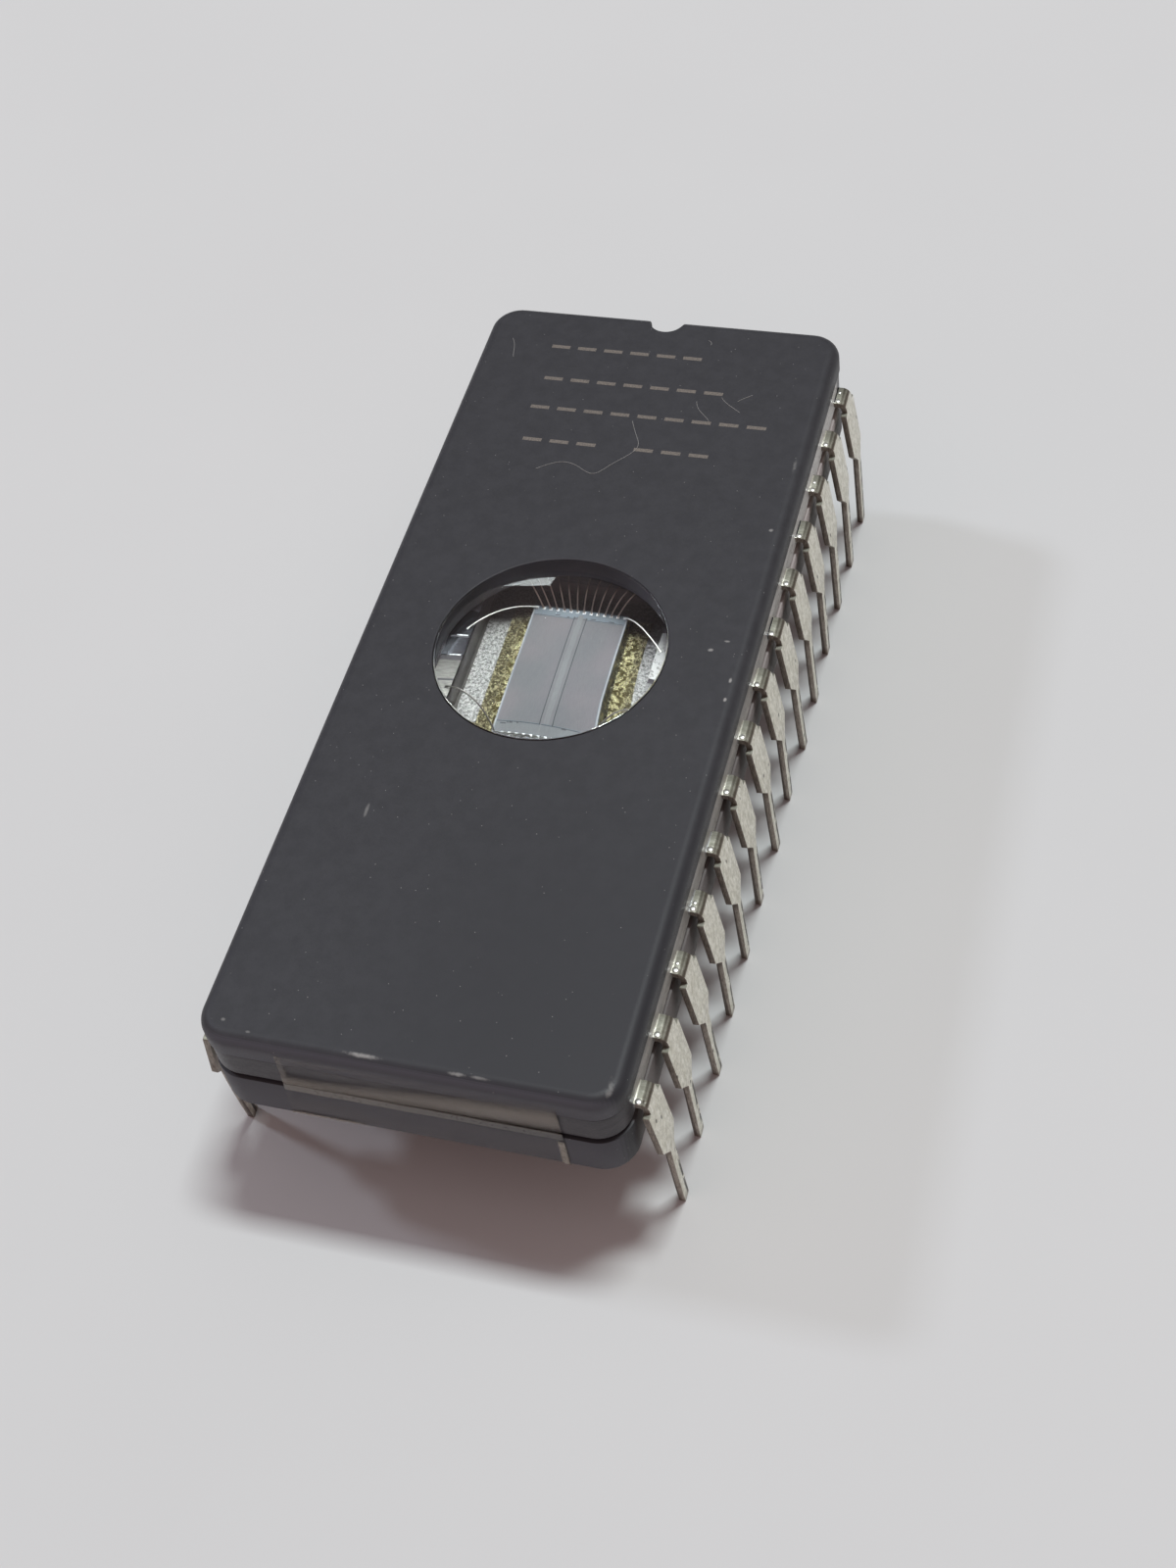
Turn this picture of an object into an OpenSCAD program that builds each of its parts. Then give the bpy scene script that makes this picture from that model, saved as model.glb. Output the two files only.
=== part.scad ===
// Windowed ceramic dual in-line package, standing on its leads.
// The origin is the middle of the package on the plane of the lead tips.
// +Z is up, +Y points to the notched end and +X to the row with the highest lead numbers.

/* [Ceramic package] */
// Length of the ceramic along the lead rows
package_length = 36.5; // [36:0.1:60]
// Width of the ceramic between the lead rows
package_width = 14.8; // [12.3:0.1:18]
// Radius of the four upright corners
corner_radius = 1.2; // [0.8:0.1:2]
// Height of the base's underside above the lead tips
standoff = 4.75; // [2:0.05:8]
// Thickness of the ceramic base
base_height = 1.9; // [1.5:0.05:3]
// Thickness of the glass seal between base and cap
seal_height = 0.95; // [0.9:0.05:1.2]
// Thickness of the ceramic cap
cap_height = 1.6; // [1.6:0.05:3]
// Rounding of the cap's top edge
cap_edge_radius = 0.45; // [0.1:0.05:0.6]
// Rounding of the base's bottom edge
base_edge_radius = 0.2; // [0.1:0.05:0.5]
// Height of the slope on the cap's lower edge
cap_slope_height = 0.55; // [0.2:0.05:0.8]
// Depth of the slope on the cap's lower edge
cap_slope_depth = 0.35; // [0.1:0.05:0.5]
// Radius of the half-round notch in the cap's far end
notch_radius = 0.75; // [0.5:0.05:1]
// Depth of the notch
notch_depth = 0.85; // [0.4:0.05:1]

/* [Glass seal] */
// How far the bulge of the seal stays back from the package's sides
seal_recess = 0.05; // [0.02:0.01:0.1]
// Radius at which the bulge rolls in towards the base
bulge_radius = 0.4; // [0.35:0.01:0.5]
// Height over which the bulge rolls in
bulge_height = 0.32; // [0.2:0.02:0.34]

/* [Cavity] */
// Width of the cavity in the base
cavity_width = 7.1; // [6.2:0.1:9]
// Length of the cavity in the base
cavity_length = 9.4; // [8.6:0.1:12]
// Radius of the cavity's upright corners
cavity_corner_radius = 0.4; // [0.2:0.1:1]
// Depth of the cavity below the top of the base
cavity_depth = 0.68; // [0.5:0.01:0.9]
// Thickness of the plating on the cavity's floor
plating_thickness = 0.03; // [0.02:0.01:0.1]
// Gap between the plating and the cavity's walls
plating_gap = 0.12; // [0.05:0.01:0.3]
// How far the seal leaves the inner ends of the leads bare
bond_ledge = 0.8; // [0.5:0.05:1.2]

/* [Window] */
// Radius of the round window
window_radius = 4.4; // [3:0.1:5]
// Thickness of the window's glass at its rim
window_thickness = 1.2; // [0.8:0.05:1.2]
// How far the glass lies below the cap's top face
window_recess = 0.04; // [0:0.01:0.1]
// Rounding of the glass along its upper rim
window_rim_radius = 0.2; // [0.1:0.05:0.6]
// How far the middle of the glass sags below its rim
window_sag = 0.3; // [0.05:0.05:0.3]

/* [Die] */
// Width of the die
die_width = 3.65; // [3.5:0.05:5]
// Length of the die
die_length = 6.2; // [5:0.05:7]
// Thickness of the die
die_thickness = 0.42; // [0.3:0.01:0.5]
// Shift of the die towards the notched end
die_shift = 0.5; // [0:0.05:0.6]
// How far the gold under the die reaches beyond its long sides
gold_side_margin = 0.78; // [0.2:0.01:0.9]
// How far the gold under the die reaches beyond its ends
gold_end_margin = 0.15; // [0.05:0.01:0.3]
// Thickness of the gold under the die
gold_thickness = 0.03; // [0.02:0.01:0.1]

/* [Leads] */
// Number of leads in each row
leads_per_row = 14; // [12:2:14]
// Distance from one lead to the next
lead_pitch = 2.54; // [2.5, 2.54]
// Thickness of the lead strip
lead_thickness = 0.25; // [0.2:0.01:0.27]
// Height of the lead strip's underside above the top of the base
lead_seat = 0.5; // [0.4:0.01:0.54]
// Width of a lead where it leaves the package
exit_width = 0.96; // [0.8:0.02:1.2]
// Width of the shoulder
shoulder_width = 1.4; // [1.2:0.01:1.65]
// Distance of the shoulder's upper corners below the top of the lead
shoulder_drop = 0.5; // [0.45:0.05:0.8]
// Height of the shoulder's lower corners above the tips
shoulder_bottom = 4.65; // [3:0.05:5]
// Height over which the shoulder tapers to the leg
shoulder_taper = 0.6; // [0.2:0.05:1]
// Distance from the package's side to the outside of the bend
shoulder_reach = 0.49; // [0.4:0.01:0.8]
// Outer radius of the bend
bend_radius = 0.36; // [0.32:0.01:0.4]
// Lean of the shoulder away from the package
shoulder_lean = 7; // [0:0.5:8]
// Width of the narrow leg
leg_width = 0.46; // [0.4:0.01:0.56]
// Lean of the narrow leg away from the package
leg_lean = 2; // [0:0.5:4]
// Height above the tips at which the lean changes
lean_change_height = 4.1; // [3:0.05:4.5]

/* [Inner ends of the leads] */
// How far a lead runs straight into the package
straight_run = 0.9; // [0.6:0.05:1.2]
// Width of the inner ends of the fanned leads
finger_width = 0.34; // [0.25:0.01:0.4]
// Distance between the inner ends of neighbouring leads
finger_pitch = 0.54; // [0.5:0.01:0.58]
// Length of the straight inner end of the shortest fanned lead
finger_length = 0.85; // [0.7:0.05:1]
// How much longer the straight inner end of the next lead is
finger_step = 0.62; // [0.55:0.01:0.7]
// Slit between the wide inner ends of the two middle leads
middle_slit = 0.2; // [0.1:0.01:0.4]
// Width of the inner ends of the two middle leads
middle_finger_width = 2.2; // [1:0.1:2.4]
// Length of the wide inner ends of the two middle leads
middle_finger_length = 1.2; // [0.9:0.1:1.3]

/* [Bond wires] */
// Diameter of a bond wire
wire_diameter = 0.05; // [0.03:0.01:0.08]
// Distance from one bond pad to the next
pad_pitch = 0.26; // [0.2:0.01:0.27]
// Distance of the bond pads from the end of the die
pad_inset = 0.13; // [0.08:0.01:0.3]
// Gap between the tops of the wires and the cap
wire_clearance = 0.03; // [0.01:0.01:0.04]
// Distance from a lead's inner end to where the wire lands on it
wire_landing = 0.2; // [0.1:0.05:0.45]
// Distance of the middle leads' wires from the middle of the package
middle_landing = 1.35; // [0.5:0.05:1.5]

/* [Tape] */
// Left end of the clear tape on the plain end
tape_left = -4.65; // [-6:0.05:-2]
// Right end of the clear tape on the plain end
tape_right = 5.35; // [2:0.05:6]
// Thickness of the tape
tape_thickness = 0.06; // [0.03:0.01:0.1]
// Distance of the tape's upper edge below the cap's top face
tape_top_drop = 0.5; // [0.5:0.05:1]
// How far the tape runs on under the base
tape_under = 2; // [0.8:0.1:5]
// Radius of the tape's upper corners
tape_corner_radius = 0.4; // [0.1:0.1:1]

/* [Hidden] */
$fn = 64;
wire_sides = 6;
wire_steps = 8;
// Sides of the wide circle that shapes the glass's lower face
sag_sides = 256;
// A cut reaches this far beyond the face that it opens
overcut = 1;

base_bottom = standoff;
base_top = base_bottom + base_height;
cap_bottom = base_top + seal_height;
cap_top = cap_bottom + cap_height;
cap_slope_top = cap_bottom + cap_slope_height;

lead_bottom = base_top + lead_seat;
lead_top = lead_bottom + lead_thickness;

cavity_floor = base_top - cavity_depth;
plating_top = cavity_floor + plating_thickness;
gold_top = plating_top + gold_thickness;
die_top = gold_top + die_thickness;
window_top = cap_top - window_recess;
window_bottom = window_top - window_thickness;

// The wires arch over the ends of the leads, in the room that the cap leaves.
wire_rise = lead_top - die_top;
wire_room = cap_bottom - wire_clearance - wire_diameter - lead_top;
wire_arch = (wire_room + sqrt(wire_room * (wire_room + wire_rise))) / 2;

package_side = package_width / 2;
package_end = package_length / 2;
cavity_side = cavity_width / 2;
cavity_end = cavity_length / 2;

half_row = leads_per_row / 2;
lead_count = 2 * leads_per_row;

// Middle line of the lead strip below the bend: end of the bend, change of lean, foot.
bend_centre = [package_side + shoulder_reach - bend_radius, lead_top - bend_radius];
bend_middle_radius = bend_radius - lead_thickness / 2;
bend_end = bend_centre + bend_middle_radius * [cos(shoulder_lean), sin(shoulder_lean)];
lean_change = [
    bend_end[0] + (bend_end[1] - lean_change_height) * tan(shoulder_lean),
    lean_change_height
];
foot = [lean_change[0] + lean_change_height * tan(leg_lean), 0];
below_foot = foot + [tan(leg_lean), -1] * overcut;
lead_reach = foot[0] + lead_thickness;

function lead_name(number) = str("lead_", number < 10 ? "0" : "", number);

// Leads are numbered from the notched end, down the -X row and back up the +X row.
function lead_side(number) = number <= leads_per_row ? -1 : 1;
function lead_place(number) = number <= leads_per_row ? leads_per_row - number : number - leads_per_row - 1;
function lead_y(number) = (lead_place(number) - (leads_per_row - 1) / 2) * lead_pitch;
function lead_end(number) = lead_y(number) > 0 ? 1 : -1;

// Rank of a lead in its quarter of the package: 0 in the middle of the row, highest at the end.
function lead_rank(number) = round(abs(lead_y(number)) / lead_pitch - 0.5);

// The inner ends of the fanned leads stand side by side along the cavity's end.
function finger_x(rank) = (half_row - rank - 0.5) * finger_pitch;
function finger_bend_y(rank) = cavity_end + finger_length + (rank - 1) * finger_step;

// Middle line and widths of a lead's flat part, for a lead at +X in the notched half.
function flat_start(rank) = [
    [bend_centre[0], (rank + 0.5) * lead_pitch],
    [package_side - straight_run, (rank + 0.5) * lead_pitch]
];
function middle_finger_y() = (middle_slit + middle_finger_width) / 2;
function middle_path() = concat(flat_start(0), [
    [cavity_side + middle_finger_length, middle_finger_y()],
    [cavity_side, middle_finger_y()]
]);
function fanned_path(rank) = concat(flat_start(rank), [
    [finger_x(rank), finger_bend_y(rank)],
    [finger_x(rank), cavity_end]
]);
function flat_path(rank) = rank == 0 ? middle_path() : fanned_path(rank);
function flat_widths(rank) = rank == 0
    ? [exit_width, exit_width, middle_finger_width, middle_finger_width]
    : [exit_width, exit_width, finger_width, finger_width];

function unit(v) = v / norm(v);
function left_of(v) = [-v[1], v[0]];

// Side direction of a strip at one point of its path, long enough to keep its width at a bend
function segment_side(path, i) = left_of(unit(path[i + 1] - path[i]));
function corner_side(before, after) = (before + after) / (1 + before * after);
function strip_side(path, i) = i == 0
    ? segment_side(path, 0)
    : i == len(path) - 1
        ? segment_side(path, i - 1)
        : corner_side(segment_side(path, i - 1), segment_side(path, i));

// Outline of a strip that follows a path, with a width at each point
function strip_outline(path, widths) = concat(
    [for (i = [0:len(path) - 1]) path[i] + strip_side(path, i) * widths[i] / 2],
    [for (i = [len(path) - 1:-1:0]) path[i] - strip_side(path, i) * widths[i] / 2]
);

// A section, drawn from the corners' centre line outwards, carried round the whole package
module swept_round() {
    x = package_side - corner_radius;
    y = package_end - corner_radius;
    corners = [[x, y], [-x, y], [-x, -y], [x, -y]];
    for (i = [0:3]) {
        translate([corners[i][0], corners[i][1], 0])
            rotate([0, 0, 90 * i])
                rotate_extrude(angle = 90)
                    children();
    }
    for (turn = [0, 180]) {
        rotate([0, 0, turn])
            straight_edge(x, 2 * y)
                children();
        rotate([0, 0, turn + 90])
            straight_edge(y, 2 * x)
                children();
    }
}

module straight_edge(distance, length) {
    translate([distance, 0, 0])
        rotate([90, 0, 0])
            linear_extrude(length, center = true)
                children();
}

module package_middle(bottom, top) {
    size = [package_width - 2 * corner_radius, package_length - 2 * corner_radius, top - bottom];
    translate([0, 0, (bottom + top) / 2])
        cube(size, center = true);
}

module rounded_rectangle(width, length, radius) {
    square([width - 2 * radius, length], center = true);
    square([width, length - 2 * radius], center = true);
    for (x = [-1, 1], y = [-1, 1]) {
        translate([x * (width / 2 - radius), y * (length / 2 - radius)])
            circle(radius);
    }
}

module base_section() {
    polygon([
        [0, base_bottom],
        [corner_radius - base_edge_radius, base_bottom],
        [corner_radius, base_bottom + base_edge_radius],
        [corner_radius, base_top],
        [0, base_top]
    ]);
    translate([corner_radius - base_edge_radius, base_bottom + base_edge_radius])
        circle(base_edge_radius);
}

module cap_section() {
    polygon([
        [0, cap_bottom],
        [corner_radius - cap_slope_depth, cap_bottom],
        [corner_radius, cap_slope_top],
        [corner_radius, cap_top - cap_edge_radius],
        [corner_radius - cap_edge_radius, cap_top],
        [0, cap_top]
    ]);
    translate([corner_radius - cap_edge_radius, cap_top - cap_edge_radius])
        circle(cap_edge_radius);
}

// The seal bulges out between base and cap and climbs the slope under the cap's edge.
module seal_section() {
    face = corner_radius - seal_recess;
    bulge_centre = [face - bulge_radius, base_top + bulge_height];
    bulge_foot = bulge_centre[0] + sqrt(pow(bulge_radius, 2) - pow(bulge_height, 2));
    climb = cap_slope_height * (cap_slope_depth - seal_recess) / cap_slope_depth;
    polygon([
        [0, base_top],
        [bulge_foot, base_top],
        [face, bulge_centre[1]],
        [face, cap_bottom + climb],
        [corner_radius - cap_slope_depth, cap_bottom],
        [0, cap_bottom]
    ]);
    intersection() {
        translate(bulge_centre)
            circle(bulge_radius);
        translate([0, base_top])
            square([corner_radius, bulge_height]);
    }
}

// Space of the notch, from the cap's lower face upwards
module notch_space() {
    translate([0, package_end - notch_depth + notch_radius, cap_bottom])
        cylinder(h = cap_height + overcut, r = notch_radius);
}

module ceramic_base() {
    color([0.23, 0.22, 0.24])
        difference() {
            union() {
                swept_round() base_section();
                package_middle(base_bottom, base_top);
            }
            translate([0, 0, cavity_floor])
                linear_extrude(cavity_depth + overcut)
                    rounded_rectangle(cavity_width, cavity_length, cavity_corner_radius);
        }
}

module cavity_plating() {
    width = cavity_width - 2 * plating_gap;
    length = cavity_length - 2 * plating_gap;
    color([0.82, 0.81, 0.78])
        translate([0, 0, cavity_floor])
            linear_extrude(plating_thickness)
                rounded_rectangle(width, length, cavity_corner_radius - plating_gap);
}

module gold_preform() {
    width = die_width + 2 * gold_side_margin;
    length = die_length + 2 * gold_end_margin;
    color([0.72, 0.62, 0.32])
        translate([0, die_shift, plating_top + gold_thickness / 2])
            cube([width, length, gold_thickness], center = true);
}

module die() {
    color([0.55, 0.55, 0.58])
        translate([0, die_shift, gold_top + die_thickness / 2])
            cube([die_width, die_length, die_thickness], center = true);
}

// The seal is a frame round the cavity. It is cut back above the leads' bare inner ends.
module seal_glass() {
    ledge_width = cavity_width + 2 * bond_ledge;
    ledge_length = cavity_length + 2 * bond_ledge;
    color([0.36, 0.34, 0.35])
        difference() {
            union() {
                swept_round() seal_section();
                package_middle(base_top, cap_bottom);
            }
            translate([0, 0, base_top - overcut])
                linear_extrude(seal_height + 2 * overcut)
                    rounded_rectangle(cavity_width, cavity_length, cavity_corner_radius);
            translate([0, 0, lead_top])
                linear_extrude(seal_height)
                    rounded_rectangle(ledge_width, ledge_length, cavity_corner_radius);
            translate([0, 0, lead_bottom])
                linear_extrude(lead_thickness)
                    for (number = [1:lead_count]) {
                        flat_outline(number);
                    }
            notch_space();
        }
}

module ceramic_cap() {
    color([0.27, 0.27, 0.29])
        difference() {
            union() {
                swept_round() cap_section();
                package_middle(cap_bottom, cap_top);
            }
            translate([0, 0, cap_bottom - overcut])
                cylinder(h = cap_height + 2 * overcut, r = window_radius);
            translate([0, 0, -overcut])
                notch_space();
        }
}

// The glass is flat above, with a rounded rim, and sags like a wide ball below.
module window_lens() {
    rim = [window_radius - window_rim_radius, window_top - window_rim_radius];
    sag_bottom = window_bottom - window_sag;
    sag_radius = (pow(window_radius, 2) + pow(window_sag, 2)) / (2 * window_sag);
    color([0.8, 0.88, 0.9, 0.4])
        rotate_extrude() {
            polygon([
                [0, window_bottom],
                [window_radius, window_bottom],
                [window_radius, rim[1]],
                [rim[0], window_top],
                [0, window_top]
            ]);
            translate(rim)
                intersection() {
                    circle(window_rim_radius);
                    square(window_rim_radius);
                }
            intersection() {
                translate([0, sag_bottom + sag_radius])
                    circle(sag_radius, $fn = sag_sides);
                translate([0, sag_bottom])
                    square([window_radius, window_sag]);
            }
        }
}

// Plan of a lead's flat part, from its bend to its inner end
module flat_outline(number) {
    rank = lead_rank(number);
    mirror([lead_side(number) < 0 ? 1 : 0, 0])
        mirror([0, lead_end(number) < 0 ? 1 : 0])
            polygon(strip_outline(flat_path(rank), flat_widths(rank)));
}

// Side view of the bend and the leg below it
module side_view() {
    reach = 2 * bend_radius;
    intersection() {
        translate(bend_centre)
            difference() {
                circle(bend_radius);
                circle(bend_radius - lead_thickness);
            }
        translate(bend_centre)
            polygon([[0, 0], [0, reach], [reach, reach], [reach, reach * tan(shoulder_lean)]]);
    }
    intersection() {
        polygon(strip_outline([bend_end, lean_change, below_foot], [for (i = [0:2]) lead_thickness]));
        square([lead_reach, lead_top]);
    }
}

// End view of the bend, the wide shoulder below it and the narrow leg
module end_view() {
    shoulder_top = lead_top - shoulder_drop;
    polygon([
        [-leg_width / 2, 0],
        [leg_width / 2, 0],
        [leg_width / 2, shoulder_bottom - shoulder_taper],
        [shoulder_width / 2, shoulder_bottom],
        [shoulder_width / 2, shoulder_top],
        [exit_width / 2, shoulder_top],
        [exit_width / 2, lead_top],
        [-exit_width / 2, lead_top],
        [-exit_width / 2, shoulder_top],
        [-shoulder_width / 2, shoulder_top],
        [-shoulder_width / 2, shoulder_bottom],
        [-leg_width / 2, shoulder_bottom - shoulder_taper]
    ]);
}

module lead(number) {
    color([0.72, 0.7, 0.63])
        union() {
            translate([0, 0, lead_bottom])
                linear_extrude(lead_thickness)
                    flat_outline(number);
            translate([0, lead_y(number), 0])
                mirror([lead_side(number) < 0 ? 1 : 0, 0, 0])
                    intersection() {
                        rotate([90, 0, 0])
                            linear_extrude(2 * shoulder_width, center = true)
                                side_view();
                        rotate([90, 0, 90])
                            linear_extrude(lead_reach)
                                end_view();
                    }
        }
}

// Start of a wire on the die and its end on the lead, for a lead at +X.
function pad_point(rank, end) = [
    (half_row - rank - 0.5) * pad_pitch,
    end * die_shift + die_length / 2 - pad_inset,
    die_top + wire_diameter / 2
];
function landing_point(rank) = rank == 0
    ? [cavity_side + wire_landing, middle_landing, lead_top + wire_diameter / 2]
    : [finger_x(rank), cavity_end + wire_landing, lead_top + wire_diameter / 2];

// A wire climbs steeply from its pad and comes down on its lead from above.
function wire_height(t) = wire_rise * t * (2 - t) + 4 * wire_arch * t * (1 - t);
function wire_point(from, to, t) = [
    from[0] + (to[0] - from[0]) * t,
    from[1] + (to[1] - from[1]) * t,
    from[2] + wire_height(t)
];

function ring_point(centre, side, up, angle) =
    centre + (side * cos(angle) + up * sin(angle)) * wire_diameter / 2;
function ring(centre, along) =
    let (side = unit(cross(along, [0, 0, 1])), up = unit(cross(side, along)))
        [for (k = [0:wire_sides - 1]) ring_point(centre, side, up, 360 * k / wire_sides)];
function wire_direction(centres, i) = centres[min(i + 1, len(centres) - 1)] - centres[max(i - 1, 0)];

module wire(from, to) {
    centres = [for (i = [0:wire_steps]) wire_point(from, to, i / wire_steps)];
    points = [for (i = [0:wire_steps]) each ring(centres[i], wire_direction(centres, i))];
    sides = [
        for (i = [0:wire_steps - 1], k = [0:wire_sides - 1])
            let (a = i * wire_sides + k, b = i * wire_sides + (k + 1) % wire_sides)
                [a, b, b + wire_sides, a + wire_sides]
    ];
    start_face = [for (k = [wire_sides - 1:-1:0]) k];
    end_face = [for (k = [0:wire_sides - 1]) wire_steps * wire_sides + k];
    polyhedron(points, concat(sides, [start_face, end_face]));
}

module bond_wires(end) {
    color([0.75, 0.75, 0.76])
        mirror([0, end < 0 ? 1 : 0, 0])
            for (side = [-1, 1], rank = [0:half_row - 1]) {
                mirror([side < 0 ? 1 : 0, 0, 0])
                    wire(pad_point(rank, end), landing_point(rank));
            }
}

// Side view of the tape: down the plain end, round the base's lower edge and on under the base
module tape_section() {
    outer_radius = base_edge_radius + tape_thickness;
    centre = [package_end - base_edge_radius, base_bottom + base_edge_radius];
    translate([package_end, centre[1]])
        square([tape_thickness, cap_top - tape_top_drop - centre[1]]);
    translate([package_end - tape_under, base_bottom - tape_thickness])
        square([tape_under - base_edge_radius, tape_thickness]);
    translate(centre)
        intersection() {
            difference() {
                circle(outer_radius);
                circle(base_edge_radius);
            }
            translate([0, -2 * outer_radius])
                square(2 * outer_radius);
        }
}

// End view of the tape, with rounded upper corners
module tape_outline(width, height) {
    translate([0, height / 2])
        rounded_rectangle(width, height, tape_corner_radius);
    translate([-width / 2, 0])
        square([width, height / 2]);
}

module clear_tape() {
    width = tape_right - tape_left;
    height = cap_top - tape_top_drop - base_bottom + tape_thickness;
    color([0.75, 0.72, 0.68, 0.5])
        translate([(tape_left + tape_right) / 2, 0, 0])
            intersection() {
                rotate([90, 0, -90])
                    linear_extrude(width, center = true)
                        tape_section();
                translate([0, 0, base_bottom - tape_thickness])
                    rotate([90, 0, 0])
                        linear_extrude(package_length)
                            tape_outline(width, height);
            }
}

ceramic_base();
cavity_plating();
gold_preform();
die();
seal_glass();
ceramic_cap();
window_lens();
bond_wires(1);  // bond_wires_notch_end
bond_wires(-1);  // bond_wires_plain_end
clear_tape();
for (number = [1:lead_count]) {
    lead(number);
}
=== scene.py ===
"""Looks of a memory chip in a windowed ceramic package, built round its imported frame.

Lengths are in millimetres up to the point where a mesh, lamp or camera is made, and in metres there.
+Z is up, +Y points to the notched end and +X to the row of leads that the camera sees.
"""

import math
import random

import bmesh
import bpy
from mathutils import Matrix, Vector


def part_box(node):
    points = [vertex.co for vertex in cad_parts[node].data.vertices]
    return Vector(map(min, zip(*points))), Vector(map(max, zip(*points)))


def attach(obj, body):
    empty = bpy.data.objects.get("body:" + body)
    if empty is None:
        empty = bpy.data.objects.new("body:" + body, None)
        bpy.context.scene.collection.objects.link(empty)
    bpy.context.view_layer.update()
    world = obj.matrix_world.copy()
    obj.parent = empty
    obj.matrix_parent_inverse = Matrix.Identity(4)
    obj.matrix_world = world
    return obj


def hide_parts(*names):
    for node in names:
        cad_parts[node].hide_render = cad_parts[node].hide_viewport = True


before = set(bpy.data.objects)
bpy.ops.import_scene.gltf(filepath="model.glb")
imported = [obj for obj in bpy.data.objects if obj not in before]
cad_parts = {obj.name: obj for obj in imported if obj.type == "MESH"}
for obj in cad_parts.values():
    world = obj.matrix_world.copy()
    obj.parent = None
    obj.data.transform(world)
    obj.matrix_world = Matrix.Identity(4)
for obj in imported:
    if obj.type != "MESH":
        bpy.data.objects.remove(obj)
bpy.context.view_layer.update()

MM = 0.001
BODY = "root"
ALL_SMOOTH = 180


def box_mm(node):
    low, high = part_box(node)
    return low / MM, high / MM


# Sizes that the frame gives
base_low, base_high = box_mm("ceramic_base")
cap_low, cap_high = box_mm("ceramic_cap")
lens_low, lens_high = box_mm("window_lens")
die_low, die_high = box_mm("die")
gold_low, gold_high = box_mm("gold_preform")
plating_low, plating_high = box_mm("cavity_plating")
tape_low, tape_high = box_mm("clear_tape")
HALF_WIDTH = cap_high.x
HALF_LENGTH = cap_high.y
WINDOW_RADIUS = lens_high.x
LEAD_TOP = box_mm("lead_01")[1].z

# Package
CORNER_RADIUS = 1.2
CAP_EDGE_RADIUS = 0.45
BASE_EDGE_RADIUS = 0.2
BASE_SEAM_EDGE = 0.04
SLOPE_HEIGHT = 0.55
SLOPE_DEPTH = 0.35
NOTCH_RADIUS = 0.75
NOTCH_DEPTH = 0.85
SEAL_RECESS = 0.05
BULGE_HEIGHT = 0.32
BULGE_RADIUS = 0.4
CAVITY_HALF_WIDTH = 3.55
CAVITY_HALF_LENGTH = 4.7
CAVITY_CORNER_RADIUS = 0.4
BOND_LEDGE = 0.8
HOLE_EDGE_RADIUS = 0.04
LENS_RIM_RADIUS = 0.1
BOWL_RADIUS = 32.4
BOWL_LOWEST = Vector((1.04, 0.86))
BOWL_FLARE_FROM = 2.2
BOWL_FLARE_TO = 4.64
BOWL_FLARE = 0.036
BOWL_FLARE_SIDE = Vector((-0.719, 0.695))
FUSED_DEPTH = 0.03
CAP_LIFT = 0.02

# Leads
LEADS_PER_ROW = 14
LEAD_PITCH = 2.54
LEAD_THICKNESS = 0.25
EXIT_WIDTH = 0.96
SHOULDER_WIDTH = 1.4
SHOULDER_DROP = 0.5
SHOULDER_BOTTOM = 4.65
SHOULDER_TAPER = 0.6
SHOULDER_REACH = 0.49
BEND_RADIUS = 0.36
SHOULDER_LEAN = math.radians(7)
LEG_WIDTH = 0.46
LEG_LEAN = math.radians(2)
LEAN_CHANGE_HEIGHT = 4.1
STRAIGHT_RUN = 0.9
FINGER_WIDTH = 0.34
FINGER_PITCH = 0.54
FINGER_LENGTH = 0.85
FINGER_STEP = 0.62
MIDDLE_SLIT = 0.2
MIDDLE_FINGER_WIDTH = 2.2
MIDDLE_FINGER_LENGTH = 1.2
LEAD_EDGE_RADIUS = 0.035
LEG_DRIFT = 0.06
LEG_SWAY = 0.23
TIP_SHRINK = 0.03
SWAY_CURVE = 1.5
SLOT_Y = 1.0
SLOT_HALF = 0.04

# Die
DIE_END_BAND = 0.48
DIE_NEAR_BAND = 1.0
DIE_SIDE_LINE = 0.065
STRIPE_X = 0.05
STRIPE_LINE_X = 0.235
STRIPE_CORE = 0.1
PAD_HALF = 0.055

# Bond wires
WIRE_DIAMETER = 0.05
WIRES_PER_SIDE = LEADS_PER_ROW // 2
PAD_PITCH = 0.26
PAD_INSET = 0.13
NEAR_PAD_INSET = 0.56
WIRE_CLEARANCE = 0.03
WIRE_LANDING = 0.2
MIDDLE_LANDING = 1.35
WIRE_FLAT_LENGTH = 0.14

# Tape
TAPE_THICKNESS = 0.03
# Height and rise to the right of the tape's band of painted reflection
TAPE_REFLECTION_HEIGHT = 7.08
TAPE_REFLECTION_RISE = 0.7

LEAD_BOTTOM = LEAD_TOP - LEAD_THICKNESS
TAPER_BOTTOM = SHOULDER_BOTTOM - SHOULDER_TAPER
BEND_CENTRE = Vector((HALF_WIDTH + SHOULDER_REACH - BEND_RADIUS, LEAD_TOP - BEND_RADIUS))
MIDDLE_BEND_RADIUS = BEND_RADIUS - LEAD_THICKNESS / 2


# Mesh tools

def add_object(name, data):
    thing = bpy.data.objects.new(name, data)
    bpy.context.scene.collection.objects.link(thing)
    return thing


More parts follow.
